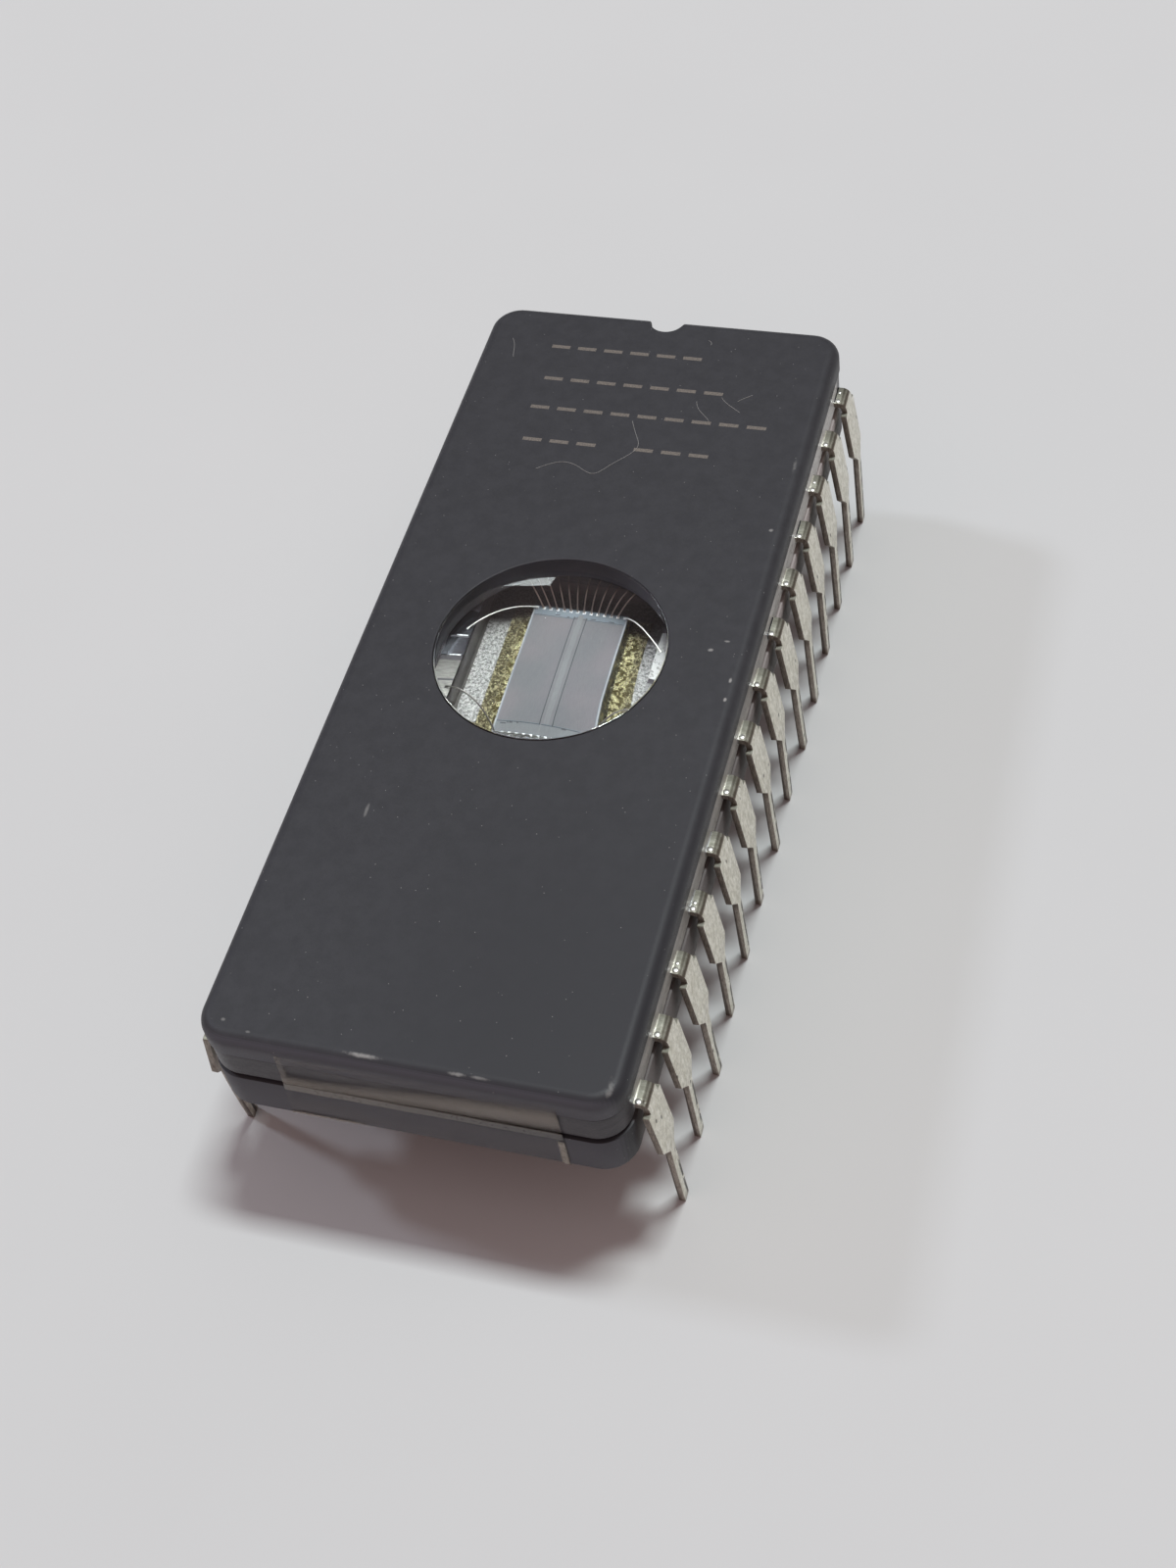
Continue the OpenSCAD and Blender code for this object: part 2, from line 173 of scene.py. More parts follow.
def make_piece(name, points, faces, material, slot, stands_for=(), sharp_angle=35):
    """A riding piece from points in millimetres, smooth up to the given angle."""
    mesh = bpy.data.meshes.new(name)
    mesh.from_pydata([Vector(p) * MM for p in points], [], faces)
    work = bmesh.new()
    work.from_mesh(mesh)
    bmesh.ops.recalc_face_normals(work, faces=work.faces)
    work.to_mesh(mesh)
    work.free()
    mesh.shade_smooth()
    mesh.set_sharp_from_angle(angle=math.radians(sharp_angle))
    mesh.materials.append(material)
    piece = add_object(name, mesh)
    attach(piece, BODY)
    if stands_for:
        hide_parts(*stands_for)
    return piece


def paint(piece, material, chosen):
    """Gives a second material to the faces that pass a test."""
    piece.data.materials.append(material)
    for face in piece.data.polygons:
        face.material_index = int(chosen(face))


def loft(rings, wrap=False, start_cap=True, first=0):
    """Points and faces of a skin over rings of as many points each, closed at its ends or wrapped."""
    count = len(rings[0])
    points = [p for ring in rings for p in ring]
    faces = []
    for k in range(len(rings) if wrap else len(rings) - 1):
        a, b = first + k * count, first + (k + 1) % len(rings) * count
        for i in range(count):
            j = (i + 1) % count
            faces.append((a + i, a + j, b + j, b + i))
    if not wrap:
        if start_cap:
            faces.append(tuple(first + i for i in reversed(range(count))))
        faces.append(tuple(first + len(points) - count + i for i in range(count)))
    return points, faces


def loft_each(ring_sets, start_cap=False):
    """Points and faces of several skins in one mesh, each closed at its last ring."""
    points, faces = [], []
    for rings in ring_sets:
        more, skin = loft(rings, start_cap=start_cap, first=len(points))
        points += more
        faces += skin
    return points, faces


def grid_faces(columns, rows):
    """Faces between points that lie in rows, with one point more than columns in each."""
    corners = [j * (columns + 1) + i for j in range(rows) for i in range(columns)]
    return [(a, a + 1, a + columns + 2, a + columns + 1) for a in corners]


def thin_rectangles(rectangles, z, thickness):
    """Flat boxes, given by their low and high corners in plan."""
    return loft_each([[(x0, y0, h), (x1, y0, h), (x1, y1, h), (x0, y1, h)] for h in (z, z + thickness)]
                     for x0, y0, x1, y1 in rectangles)


def slab(low, high, bevel):
    """Points and faces of a box with a bevel round its upper edge."""
    rings = []
    for inset, z in ((0, low.z), (0, high.z - bevel), (bevel, high.z)):
        rings.append([(low.x + inset, low.y + inset, z), (high.x - inset, low.y + inset, z),
                      (high.x - inset, high.y - inset, z), (low.x + inset, high.y - inset, z)])
    return loft(rings)


def rough_sheet(low, high, source, step, height):
    """Points and faces of an open sheet over a box, with small random bumps and a flat border."""
    z = high.z - 0.01
    columns = round((high.x - low.x) / step)
    rows = round((high.y - low.y) / step)
    points = []
    for j in range(rows + 1):
        for i in range(columns + 1):
            border = i in (0, columns) or j in (0, rows)
            lift = 0 if border else source.random() ** 2 * height
            points.append((low.x + (high.x - low.x) * i / columns,
                           low.y + (high.y - low.y) * j / rows, z + lift))
    return points, grid_faces(columns, rows)


def arc(centre, radius, start, end, steps):
    """Points of an arc in a plane, with its angles in degrees."""
    turns = [math.radians(start + (end - start) * k / steps) for k in range(steps + 1)]
    return [(centre[0] + radius * math.cos(t), centre[1] + radius * math.sin(t)) for t in turns]


def line(a, b, steps):
    """Points from a to b, without b."""
    return [(a[0] + (b[0] - a[0]) * k / steps, a[1] + (b[1] - a[1]) * k / steps) for k in range(steps)]


CORNER_STEPS = 12
LONG_SIDE_STEPS = 72
SHORT_SIDE_STEPS = 14
NOTCH_STEPS = 20


def notch_edge(y):
    """Points of the far edge at y, from +X to -X, that dip into the notch."""
    centre_y = HALF_LENGTH - NOTCH_DEPTH + NOTCH_RADIUS
    start = math.degrees(math.asin(min(1, (y - centre_y) / NOTCH_RADIUS)))
    return arc((0, centre_y), NOTCH_RADIUS, start, -180 - start, NOTCH_STEPS)


def rounded_loop(half_x, half_y, radius, z, notched=False):
    """A rounded rectangle as a ring, anticlockwise from its near right corner."""
    x, y = half_x - radius, half_y - radius
    plan = line((half_x, -y), (half_x, y), LONG_SIDE_STEPS)
    plan += arc((x, y), radius, 0, 90, CORNER_STEPS)[:-1]
    if notched:
        dip = notch_edge(half_y)
    else:
        dip = line((NOTCH_RADIUS, half_y), (-NOTCH_RADIUS, half_y), NOTCH_STEPS)
        dip.append((-NOTCH_RADIUS, half_y))
    plan += line((x, half_y), dip[0], SHORT_SIDE_STEPS) + dip[:-1]
    plan += line(dip[-1], (-x, half_y), SHORT_SIDE_STEPS)
    plan += arc((-x, y), radius, 90, 180, CORNER_STEPS)[:-1]
    plan += line((-half_x, y), (-half_x, -y), LONG_SIDE_STEPS)
    plan += arc((-x, -y), radius, 180, 270, CORNER_STEPS)[:-1]
    plan += line((-x, -half_y), (x, -half_y), 2 * SHORT_SIDE_STEPS)
    plan += arc((x, -y), radius, 270, 360, CORNER_STEPS)[:-1]
    return [(px, py, z) for px, py in plan]


def package_loop(inset, z, notched=False):
    return rounded_loop(HALF_WIDTH - inset, HALF_LENGTH - inset, CORNER_RADIUS - inset, z, notched)


def cavity_loop(grow, z):
    return rounded_loop(CAVITY_HALF_WIDTH + grow, CAVITY_HALF_LENGTH + grow, CAVITY_CORNER_RADIUS, z)


def round_hole(like, radius, z):
    """A circle whose points lie in the same directions as those of another ring."""
    angles = [math.atan2(y, x) for x, y, _ in like]
    return [(radius * math.cos(a), radius * math.sin(a), z) for a in angles]


# Material tools

def operator(operation):
    """A method that makes a math node."""
    def apply(self, other=0.0):
        return self.nodes.math(operation, self, other)
    return apply


class Value:
    """An output of a node, with which sums are written as with a number."""

    def __init__(self, nodes, socket):
        self.nodes = nodes
        self.socket = socket

    __add__ = operator("ADD")
    __sub__ = operator("SUBTRACT")
    __mul__ = operator("MULTIPLY")
    __truediv__ = operator("DIVIDE")
    __pow__ = operator("POWER")
    __abs__ = operator("ABSOLUTE")


class Nodes:
    """Short calls for the nodes of one tree, which give Values."""

    def __init__(self, tree):
        self.tree = tree

    def feed(self, socket, value):
        if isinstance(value, Value):
            self.tree.links.new(value.socket, socket)
        else:
            socket.default_value = value

    def make(self, kind, inputs, output=0, **settings):
        """A node with its settings and inputs, and one of its outputs."""
        node = self.tree.nodes.new("ShaderNode" + kind)
        for name, setting in settings.items():
            setattr(node, name, setting)
        for key, value in inputs.items():
            self.feed(node.inputs[key], value)
        return Value(self, node.outputs[output])

    def math(self, operation, a, b=0.0, clamp=False):
        return self.make("Math", {0: a, 1: b}, operation=operation, use_clamp=clamp)

    def most(self, a, b, clamp=False):
        return self.math("MAXIMUM", a, b, clamp)

    def vector(self, operation, a, b, output="Vector"):
        return self.make("VectorMath", {0: a, 1: b}, output, operation=operation)

    def split(self, vector):
        parts = self.make("SeparateXYZ", {0: vector})
        return [Value(self, socket) for socket in parts.socket.node.outputs]

    def band(self, value, low, high, to_low=0.0, to_high=1.0):
        """Maps low to high smoothly onto another range, held at its ends."""
        limits = {"From Min": low, "From Max": high, "To Min": to_low, "To Max": to_high}
        return self.make("MapRange", {"Value": value, **limits}, "Result",
                         interpolation_type="SMOOTHSTEP")

    def stripe(self, value, centre, half_width, softness):
        """1 within half_width of centre, falling to 0 over the softness beyond it."""
        return self.band(abs(value - centre), half_width, half_width + softness, 1.0, 0.0)

    def mix(self, share, a, b):
        """Two colours blended by a share."""
        a, b = (colour if isinstance(colour, Value) else (*colour, 1) for colour in (a, b))
        return self.make("Mix", {0: share, 6: a, 7: b}, 2, data_type="RGBA")


class Surface(Nodes):
    """A material with one Principled shader, and the place on the object in millimetres."""

    def __init__(self, name, **values):
        self.material = bpy.data.materials.new(name)
        self.material.use_nodes = True
        super().__init__(self.material.node_tree)
        self.shader = self.tree.nodes["Principled BSDF"]
        self.set(**values)
        metres = self.make("TexCoord", {}, "Object")
        self.place = self.make("VectorMath", {0: metres, "Scale": 1 / MM}, operation="SCALE")
        self.x, self.y, self.z = self.split(self.place)

    def set(self, **values):
        for name, value in values.items():
            self.feed(self.shader.inputs[name.replace("_", " ")], value)

    def finish(self, colour, bump=None, **values):
        """Sets the colour, a bump's height, distance and strength, and more. Gives the material."""
        if bump:
            height, distance, strength = bump
            inputs = {"Strength": strength, "Distance": distance * MM, "Height": height}
            values["Normal"] = self.make("Bump", inputs, "Normal")
        self.set(Base_Color=colour, **values)
        return self.material

    def facing(self):
        """The part of a face's direction along each axis."""
        return self.split(self.make("NewGeometry", {}, "True Normal"))

    def stretched(self, stretch):
        return self.vector("MULTIPLY", self.place, stretch)

    def noise(self, scale, detail=2, roughness=0.5, stretch=(1, 1, 1)):
        inputs = {"Scale": scale, "Detail": detail, "Roughness": roughness}
        return self.make("TexNoise", {"Vector": self.stretched(stretch), **inputs}, "Fac")

    def spots(self, scale, reach, channel, pick, stretch=(1, 1, 1)):
        """1 at the centres of cells, but only of the few that a random channel picks."""
        cells = {"Vector": self.stretched(stretch), "Scale": scale}
        off = self.make("TexVoronoi", cells, "Distance")
        chance = self.split(self.make("TexVoronoi", cells, "Color"))[channel]
        return self.band(off, *reach, 1.0, 0.0) * self.band(chance, *pick)


# Materials

CERAMIC = (0.034, 0.034, 0.039)
CERAMIC_LIGHT = (0.043, 0.043, 0.049)
# Painted shade for the top's near right corner
CERAMIC_NEAR_SHADE = (0.03, 0.03, 0.035)
# Painted light for the plain end's wall
CERAMIC_END_LIGHT = (0.068, 0.067, 0.08)
CERAMIC_WORN = (0.34, 0.33, 0.32)
# Painted light for the base's long sides
CERAMIC_FLANK_LIGHT = (0.155, 0.138, 0.135)
DUST = (0.42, 0.41, 0.4)
# Painted shade: the cap's shadow in the cavity, and shade next to the die
PAINTED_SHADE = (0.036, 0.032, 0.03)
PIT = (0.09, 0.088, 0.085)


def ceramic_surface(name, worn_places=(), flank_light=None):
    """Fine dark ceramic with dust, painted shade towards the top's near right corner and painted light on
    the plain end's wall; where they are given, edges worn pale and painted light on the flanks.
    """
    s = Surface(name, Specular_IOR_Level=0.3)
    mottle = s.noise(1.6, 5, 0.65)
    grain = s.noise(24, 3, 0.6)
    colour = s.mix(s.band(mottle + grain * 0.6, 0.55, 1.05), CERAMIC, CERAMIC_LIGHT)
    # Painted shade darkens the top a little towards its near right corner, and painted light makes the plain
    # end's wall lighter
    near_right_shade = s.band(s.y, 0.0, -16.0, 0.0, 0.9) * s.band(s.x, -6.0, 4.0)
    colour = s.mix(near_right_shade, colour, CERAMIC_NEAR_SHADE)
    colour = s.mix(s.band(s.facing()[1], -0.45, -0.8), colour, CERAMIC_END_LIGHT)
    colour = s.mix(s.spots(7.5, (0.10, 0.16), 0, (0.955, 0.965)) * 0.5, colour, DUST)
    ragged = s.noise(5, 4, 0.75)
    for place, reach, amount in worn_places:
        off = s.vector("DIVIDE", s.vector("SUBTRACT", s.place, place), reach)
        off = s.vector("LENGTH", off, (0, 0, 0), "Value")
        colour = s.mix(s.band(off + ragged, 0.9, 1.6, amount, 0.0), colour, CERAMIC_WORN)
    if flank_light:
        # Painted light: the base's long sides are lighter, their upper part lighter still, fading out
        # towards the ends
        beside = s.band(abs(s.x), HALF_WIDTH - 0.5, HALF_WIDTH - 0.4)
        ends = s.band(abs(s.y), HALF_LENGTH - 1.7, HALF_LENGTH - 0.8, 1.0, 0.0)
        upper = s.band(s.z, 6.0, 6.4) * s.band(s.y, -4.0, 8.0)
        tone = s.mix(upper, flank_light, tuple(3 * c for c in flank_light))
        colour = s.mix(beside * ends, colour, tone)
    height = grain + s.noise(70, 2) * 0.5
    return s.finish(colour, (height, 0.004, 0.55), Roughness=s.band(grain, 0.3, 0.7, 0.42, 0.56))


def cavity_surface():
    """Dark glazed ceramic round the cavity's floor and up its walls, in a flat painted shade towards the far
    end.
    """
    s = Surface("cavity_wall", Roughness=0.4, Specular_IOR_Level=0.3)
    cloud = s.noise(1.5, 3)
    near_colour = s.mix(cloud, (0.05, 0.046, 0.043), (0.085, 0.08, 0.075))
    # Beyond y of about 3 a flat brownish tone: painted shade where the cap's shadow falls
    colour = s.mix(s.band(s.y, 2.8, 3.6), near_colour, (0.064, 0.056, 0.056))
    return s.finish(colour, (cloud, 0.01, 0.4))


def seal_surface():
    """Dark sealing glass with a slightly wavy skin."""
    s = Surface("seal_glass", Specular_IOR_Level=0.3)
    flow = s.noise(1.3, 4, 0.6, stretch=(1, 1, 3))
    fine = s.noise(18, 3, 0.6)
    colour = s.mix(s.band(flow, 0.35, 0.65), (0.034, 0.03, 0.036), (0.049, 0.045, 0.051))
    rough = s.band(fine, 0.3, 0.7, 0.3, 0.46)
    return s.finish(colour, (flow + fine * 0.15, 0.03, 0.4), Roughness=rough)


def seal_side_surface():
    """Sealing glass of the long sides: a pale painted reflection of the bright floor, brighter towards the
    far end, over a painted-light tone at the bulge's foot; near the corners it keeps its own dark colour.
    """
    s = Surface("seal_side", Specular_IOR_Level=0.6)
    flow = s.noise(1.1, 4, 0.6, stretch=(1, 0.5, 2))
    fine = s.noise(11, 3, 0.7, stretch=(1, 0.5, 1))
    wave = s.band(flow, 0.35, 0.65)
    # Painted reflection of the bright floor, paler towards the far end, broken by dark dirt spots
    near_reflection = s.mix(wave, (0.24, 0.23, 0.21), (0.4, 0.385, 0.355))
    far_reflection = s.mix(wave, (0.6, 0.6, 0.58), (0.85, 0.85, 0.83))
    pale = s.mix(s.band(s.y, -4.0, 14.0), near_reflection, far_reflection)
    pale = s.mix(s.band(fine, 0.35, 0.45, 0.5, 0.0), pale, (0.09, 0.08, 0.077))
    # At the bulge's foot, painted light: a tone much lighter than the glass's own colour
    above = s.band(s.z, base_high.z + 0.05, base_high.z + 0.3)
    colour = s.mix(above, (0.2, 0.17, 0.165), pale)
    straight = HALF_LENGTH - CORNER_RADIUS
    ends = s.band(abs(s.y), straight - 0.6, straight - 0.1)
    colour = s.mix(ends, colour, (0.042, 0.038, 0.044))
    rough = s.band(flow, 0.3, 0.7, 0.3, 0.45)
    return s.finish(colour, (flow + fine * 0.2, 0.03, 0.3), Roughness=rough)


def leg_score(s, leg):
    """A broken dark line down each leg, which sways with it."""
    across = (s.math("FRACT", s.y / LEAD_PITCH) - 0.5) * LEAD_PITCH
    waver = (s.noise(1.2, 2) - 0.5) * 0.1
    low_share = s.math("SUBTRACT", SHOULDER_BOTTOM, s.z) / SHOULDER_BOTTOM
    sway = s.most(low_share, 0.0) ** SWAY_CURVE * LEG_SWAY
    broken = s.band(s.noise(1.7, 3, 0.7, stretch=(1, 1.7, 0.5)), 0.4, 0.46)
    return s.stripe(across + waver - sway, 0.12, 0.05, 0.04) * leg * broken


def sheared_colour(s, torn, leg):
    """The strip's sheared sides: rough and dark, a little paler down the leg but not on its inner edge."""
    shoulder_side = s.mix(s.band(torn, 0.4, 0.65), (0.13, 0.1, 0.085), (0.3, 0.25, 0.21))
    leg_side = s.mix(s.band(torn, 0.35, 0.65), (0.2, 0.165, 0.145), (0.46, 0.4, 0.35))
    lean_x = leg_centre(LEAN_CHANGE_HEIGHT) + LEAN_CHANGE_HEIGHT * math.tan(LEG_LEAN)
    depth = s.z * math.tan(LEG_LEAN) + (abs(s.x) - lean_x)
    leg_side = s.mix(s.band(depth, -0.09, -0.05, 0.85, 0.0), leg_side, (0.055, 0.035, 0.03))
    return s.mix(leg, shoulder_side, leg_side)


def lead_surface():
    """Dull tinned strip: mottled flanks, pits, dark sheared sides and scored legs; painted shade on the
    upward faces by the package and painted dark reflections across the bend.
    """
    s = Surface("lead_metal", Metallic=0.85)
    streak = s.noise(2.1, 5, 0.7, stretch=(1, 2.4, 1))
    mottle = s.noise(6, 3, 0.7, stretch=(1, 1, 0.7))
    cloud = s.noise(1.1, 3)
    torn = s.noise(3, 5, 0.75, stretch=(7, 1, 1))
    streaks = s.band(streak, 0.3, 0.7)
    colour = s.mix(streaks, (0.72, 0.7, 0.6), (0.95, 0.93, 0.84))
    colour = s.mix(s.band(mottle, 0.42, 0.56, 0.45, 0.0), colour, (0.5, 0.48, 0.39))
    pits = s.spots(2.8, (0.1, 0.18), 1, (0.68, 0.72), stretch=(1, 1, 0.5))
    colour = s.mix(pits * 0.85, colour, (0.07, 0.06, 0.05))

    side = abs(s.x)
    facing = s.facing()
    # Painted shade: the upward faces next to the package are darker, with a thin painted dark reflection
    # across the bend
    upward = s.band(facing[2], 0.55, 0.72) * s.band(side, HALF_WIDTH - 0.02, HALF_WIDTH + 0.02)
    wear_and_shade = s.mix(streaks, (0.22, 0.212, 0.175), (0.33, 0.325, 0.278))
    wear_and_shade = s.mix(s.stripe(side, HALF_WIDTH + 0.24, 0.02, 0.05), wear_and_shade, (0.1, 0.092, 0.072))
    colour = s.mix(upward * 0.95, colour, wear_and_shade)
    # A painted dark reflection across the bend, a little below the top
    dark_reflection = s.stripe(s.z + mottle * 0.08, LEAD_TOP - 0.08, 0.025, 0.045)
    bent = s.band(side, HALF_WIDTH + 0.15, HALF_WIDTH + 0.2)
    colour = s.mix(dark_reflection * bent * 0.75, colour, (0.1, 0.078, 0.055))

    leg = s.band(s.z, TAPER_BOTTOM - 0.1, TAPER_BOTTOM - 0.6)
    score = leg_score(s, leg)
    colour = s.mix(score, colour, (0.05, 0.04, 0.033))
    sheared = s.band(abs(facing[1]), 0.6, 0.85)
    colour = s.mix(sheared * 0.9, colour, sheared_colour(s, torn, leg))
    tip = s.band(s.z + cloud * 0.5, 0.35, 0.75, 1.0, 0.0)
    colour = s.mix(tip * 0.6, colour, (0.2, 0.15, 0.12))
    rough = s.band(streak, 0.3, 0.7, 0.48, 0.34) + upward * 0.15 + sheared * 0.12
    height = streak * 0.8 - (pits + score) + mottle * 0.5 + torn * sheared
    return s.finish(colour, (height, 0.02, 0.7), Roughness=rough)


def bead_surface():
    """Smooth bright tin."""
    s = Surface("tin_bead", Metallic=1.0, Roughness=0.36)
    return s.finish(s.mix(s.noise(12, 2), (0.7, 0.7, 0.66), (0.92, 0.92, 0.88)))


def finger_surface():
    """Skin of the leads' inner ends: pale near the plain end, under painted shadow of the cap beyond the
    slit, white on the right.
    """
    s = Surface("finger_metal", Metallic=0.9)
    brushed = s.noise(3, 4, 0.65, stretch=(1, 7, 1))
    strokes = s.band(brushed, 0.35, 0.65)
    pale = s.mix(strokes, (0.19, 0.185, 0.175), (0.28, 0.275, 0.26))
    # Beyond the slit: painted shadow of the cap
    cap_shadow = s.mix(strokes, (0.045, 0.05, 0.06), (0.1, 0.105, 0.12))
    beyond = s.band(s.y, -MIDDLE_SLIT / 2, MIDDLE_SLIT / 2)
    pits = s.band(s.noise(9, 3, 0.8), 0.38, 0.46, 0.8, 0.0)
    white = s.mix(pits, (0.42, 0.42, 0.415), PIT)
    right = s.band(s.x, 2.0, 3.0) * s.band(s.y, 2.6, 2.2)
    smooth = beyond * s.math("SUBTRACT", 1.0, right) + brushed * 0.2
    colour = s.mix(right, s.mix(beyond, pale, cap_shadow), white)
    return s.finish(colour, (brushed, 0.006, 0.5), Roughness=s.band(smooth, 0.1, 1.0, 0.48, 0.16))


def plating_surface():
    """Sparkling white metal with small dark pits, under painted shadow of the cap at its far part."""
    s = Surface("cavity_plating", Metallic=0.6)
    grain = s.noise(10, 4, 0.75)
    pits = s.band(s.noise(9, 3, 0.8), 0.38, 0.46, 0.92, 0.0)
    colour = s.mix(s.band(grain, 0.38, 0.62), (0.2, 0.2, 0.197), (0.66, 0.66, 0.65))
    # Painted shadow of the cap over the far part
    cap_shadow = s.band(s.y + grain * 0.3, 2.85, 3.3, 0.0, 0.95)
    colour = s.mix(cap_shadow, s.mix(pits, colour, PIT), PAINTED_SHADE)
    return s.finish(colour, (grain, 0.06, 0.9), Roughness=s.band(grain, 0.35, 0.65, 0.5, 0.28))


def gold_surface():
    """Gold with bright lumps beside the die and a finer, duller grain further out, with painted shade in a
    line next to the die and painted shadow of the cap at the far end.
    """
    s = Surface("gold", Metallic=0.85)
    beside = abs(s.x) - die_high.x
    lumps = s.noise(5.5, 2, 0.6)
    grain = s.noise(11, 3, 0.7)
    far = s.band(beside + lumps * 0.3 - s.band(s.x, -1.0, 1.0, 0.0, 0.25), 0.3, 0.6)
    bright = s.mix(s.band(lumps, 0.46, 0.56), (0.13, 0.107, 0.04), (1.0, 0.95, 0.58))
    dull = s.mix(s.band(grain, 0.46, 0.58), (0.12, 0.105, 0.055), (0.62, 0.575, 0.36))
    # Painted shade in a thin line next to the die
    colour = s.mix(s.band(beside, 0.05, 0.12, 0.85, 0.0), s.mix(far, bright, dull), PAINTED_SHADE)
    # Painted shadow of the cap at the far end
    cap_shadow = s.band(s.y + grain * 0.3, 3.0, 3.5, 0.0, 0.9)
    colour = s.mix(cap_shadow, colour, PAINTED_SHADE)
    return s.finish(colour, (grain + lumps, 0.09, 1.0), Roughness=s.band(lumps, 0.35, 0.65, 0.45, 0.24))


def silicon_surface(name, colour, warm=None):
    """Polished silicon, its colour drifting slightly towards a second one."""
    s = Surface(name, Metallic=0.3, Specular_IOR_Level=0.6)
    drift = s.noise(0.45, 1)
    fine = s.noise(28, 1, stretch=(1, 0.15, 1))
    tone = s.mix(s.band(drift, 0.35, 0.65), colour, warm or tuple(c * 1.12 for c in colour))
    tone = s.mix(s.band(fine, 0.45, 0.65, 0.0, 0.12), tone, (0.1, 0.1, 0.11))
    return s.finish(tone, Roughness=s.band(drift, 0.3, 0.7, 0.16, 0.26))


def die_wall_surface():
    """Sawn silicon wall that picks up specks of gold."""
    s = Surface("die_wall", Roughness=0.45)
    specks = s.noise(9, 3, 0.7)
    colour = s.mix(s.band(specks, 0.5, 0.62), (0.02, 0.02, 0.017), (0.28, 0.24, 0.1))
    return s.finish(colour, (specks, 0.02, 0.6))


def pad_surface():
    """Bright bond pads with the flattened wire on them."""
    s = Surface("die_pad", Metallic=0.2, Roughness=0.35)
    wear_and_shade = s.band(s.noise(9, 2), 0.4, 0.6)
    return s.finish(s.mix(wear_and_shade, (0.5, 0.52, 0.55), (0.95, 0.95, 0.95)))


def wire_surface(name, dark, light, metallic, greyed_and_shaded=False):
    """Drawn wire with slight marks along it. A greyed and shaded one turns grey at the plain end and has
    painted shadow of the cap towards the far leads.
    """
    s = Surface(name, Metallic=metallic, Roughness=0.35)
    along = s.noise(20, 2)
    colour = s.mix(along, dark, light)
    if greyed_and_shaded:
        colour = s.mix(s.band(s.y, 0.0, -1.0), colour, (0.42, 0.41, 0.39))
        # Painted shadow of the cap towards the far leads
        colour = s.mix(s.band(s.y, 3.75, 4.15, 0.0, 0.9), colour, PAINTED_SHADE)
    return s.finish(colour, (along, 0.004, 0.5))


def window_surface():
    """Clear glass. Light from the lamps passes straight through, so that the cavity is lit."""
    s = Surface("window_glass", Roughness=0.0, IOR=1.5, Transmission_Weight=1.0)
    from_lamp = s.make("LightPath", {}, "Is Shadow Ray")
    glass = Value(s, s.shader.outputs[0])
    clear = s.make("BsdfTransparent", {"Color": (0.95, 0.94, 0.93, 1)})
    blend = s.make("MixShader", {0: from_lamp, 1: glass, 2: clear})
    s.feed(s.tree.nodes["Material Output"].inputs["Surface"], blend)
    return s.finish((0.98, 0.98, 0.98, 1), (s.noise(0.35, 1), 0.01, 0.2))


def tape_surface():
    """Clear tape with a pale band of painted reflection where it spans the seam, painted shade over the seam
    itself, and milky ends.
    """
    s = Surface("clear_tape", Specular_IOR_Level=0.4)
    smear = s.noise(0.55, 2, 0.5, stretch=(0.35, 1, 1.6))
    scuff = s.noise(8, 4, 0.7)
    right_share = s.band(s.x, tape_low.x, tape_high.x)
    # Painted shade of the seam's groove: the tape is tinted darker there, more so on the right
    low = s.band(s.z, 6.35, 6.42) * s.band(s.z, 7.05, 6.8)
    seam_shade = s.mix(right_share, (0.16, 0.146, 0.128), (0.085, 0.08, 0.078))
    colour = s.mix(low, s.mix(smear, (0.27, 0.246, 0.208), (0.38, 0.348, 0.3)), seam_shade)

    # A pale band of painted reflection, rising to the right
    off = abs(s.z - (right_share * TAPE_REFLECTION_RISE + TAPE_REFLECTION_HEIGHT))
    band = s.band(off / (right_share * 0.3 + 0.48), 0.0, 1.2, 0.42, 0.0)
    band *= s.band(smear, 0.3, 0.6, 0.75, 1.05)
    left_end = s.stripe(s.x, tape_low.x + 0.16, 0.08, 0.3)
    left_end *= s.band(s.z, base_high.z, base_high.z + 0.3, 0.1, 0.4)
    right_end = s.stripe(s.x, tape_high.x - 0.2, 0.07, 0.1) * s.band(s.z, 6.7, 6.2)
    # The pale line along the base's lower edge is partly scuffing and partly a painted highlight of the
    # tape's bend
    lower_edge = s.stripe(s.z, base_low.z + 0.22, 0.04, 0.08) * s.band(s.x, -1.5, -2.5)
    marks = s.most(left_end, lower_edge) * s.band(scuff, 0.35, 0.6, 0.15, 0.7)
    marks = s.most(marks, right_end * s.band(scuff, 0.3, 0.6, 0.45, 0.85))
    # Over the seam the tape is made nearly opaque, so that it shows the painted shade
    seam = s.stripe(s.z, base_high.z + 0.08, 0.14, 0.1)
    film = s.most(s.band(smear + scuff * 0.3, 0.45, 0.95, 0.0, 0.07), seam * 0.92)
    alpha = s.most(s.most(film, marks), band, clamp=True)
    rough = s.band(scuff, 0.3, 0.7, 0.24, 0.42)
    return s.finish(colour, (smear + scuff * 0.1, 0.02, 0.4), Alpha=alpha, Roughness=rough)


def ink_surface():
    """Brownish grey ink, thin enough for the ceramic's grain to break it up."""
    s = Surface("ink", Roughness=0.55)
    grain = s.noise(16, 4, 0.7)
    colour = s.mix(s.band(grain, 0.35, 0.65), (0.1, 0.088, 0.078), (0.2, 0.17, 0.148))
    return s.finish(colour, (grain, 0.004, 0.5))


def lint_surface():
    s = Surface("lint", Roughness=0.7)
    return s.finish(s.mix(s.noise(6), (0.24, 0.235, 0.23), (0.42, 0.41, 0.4)))


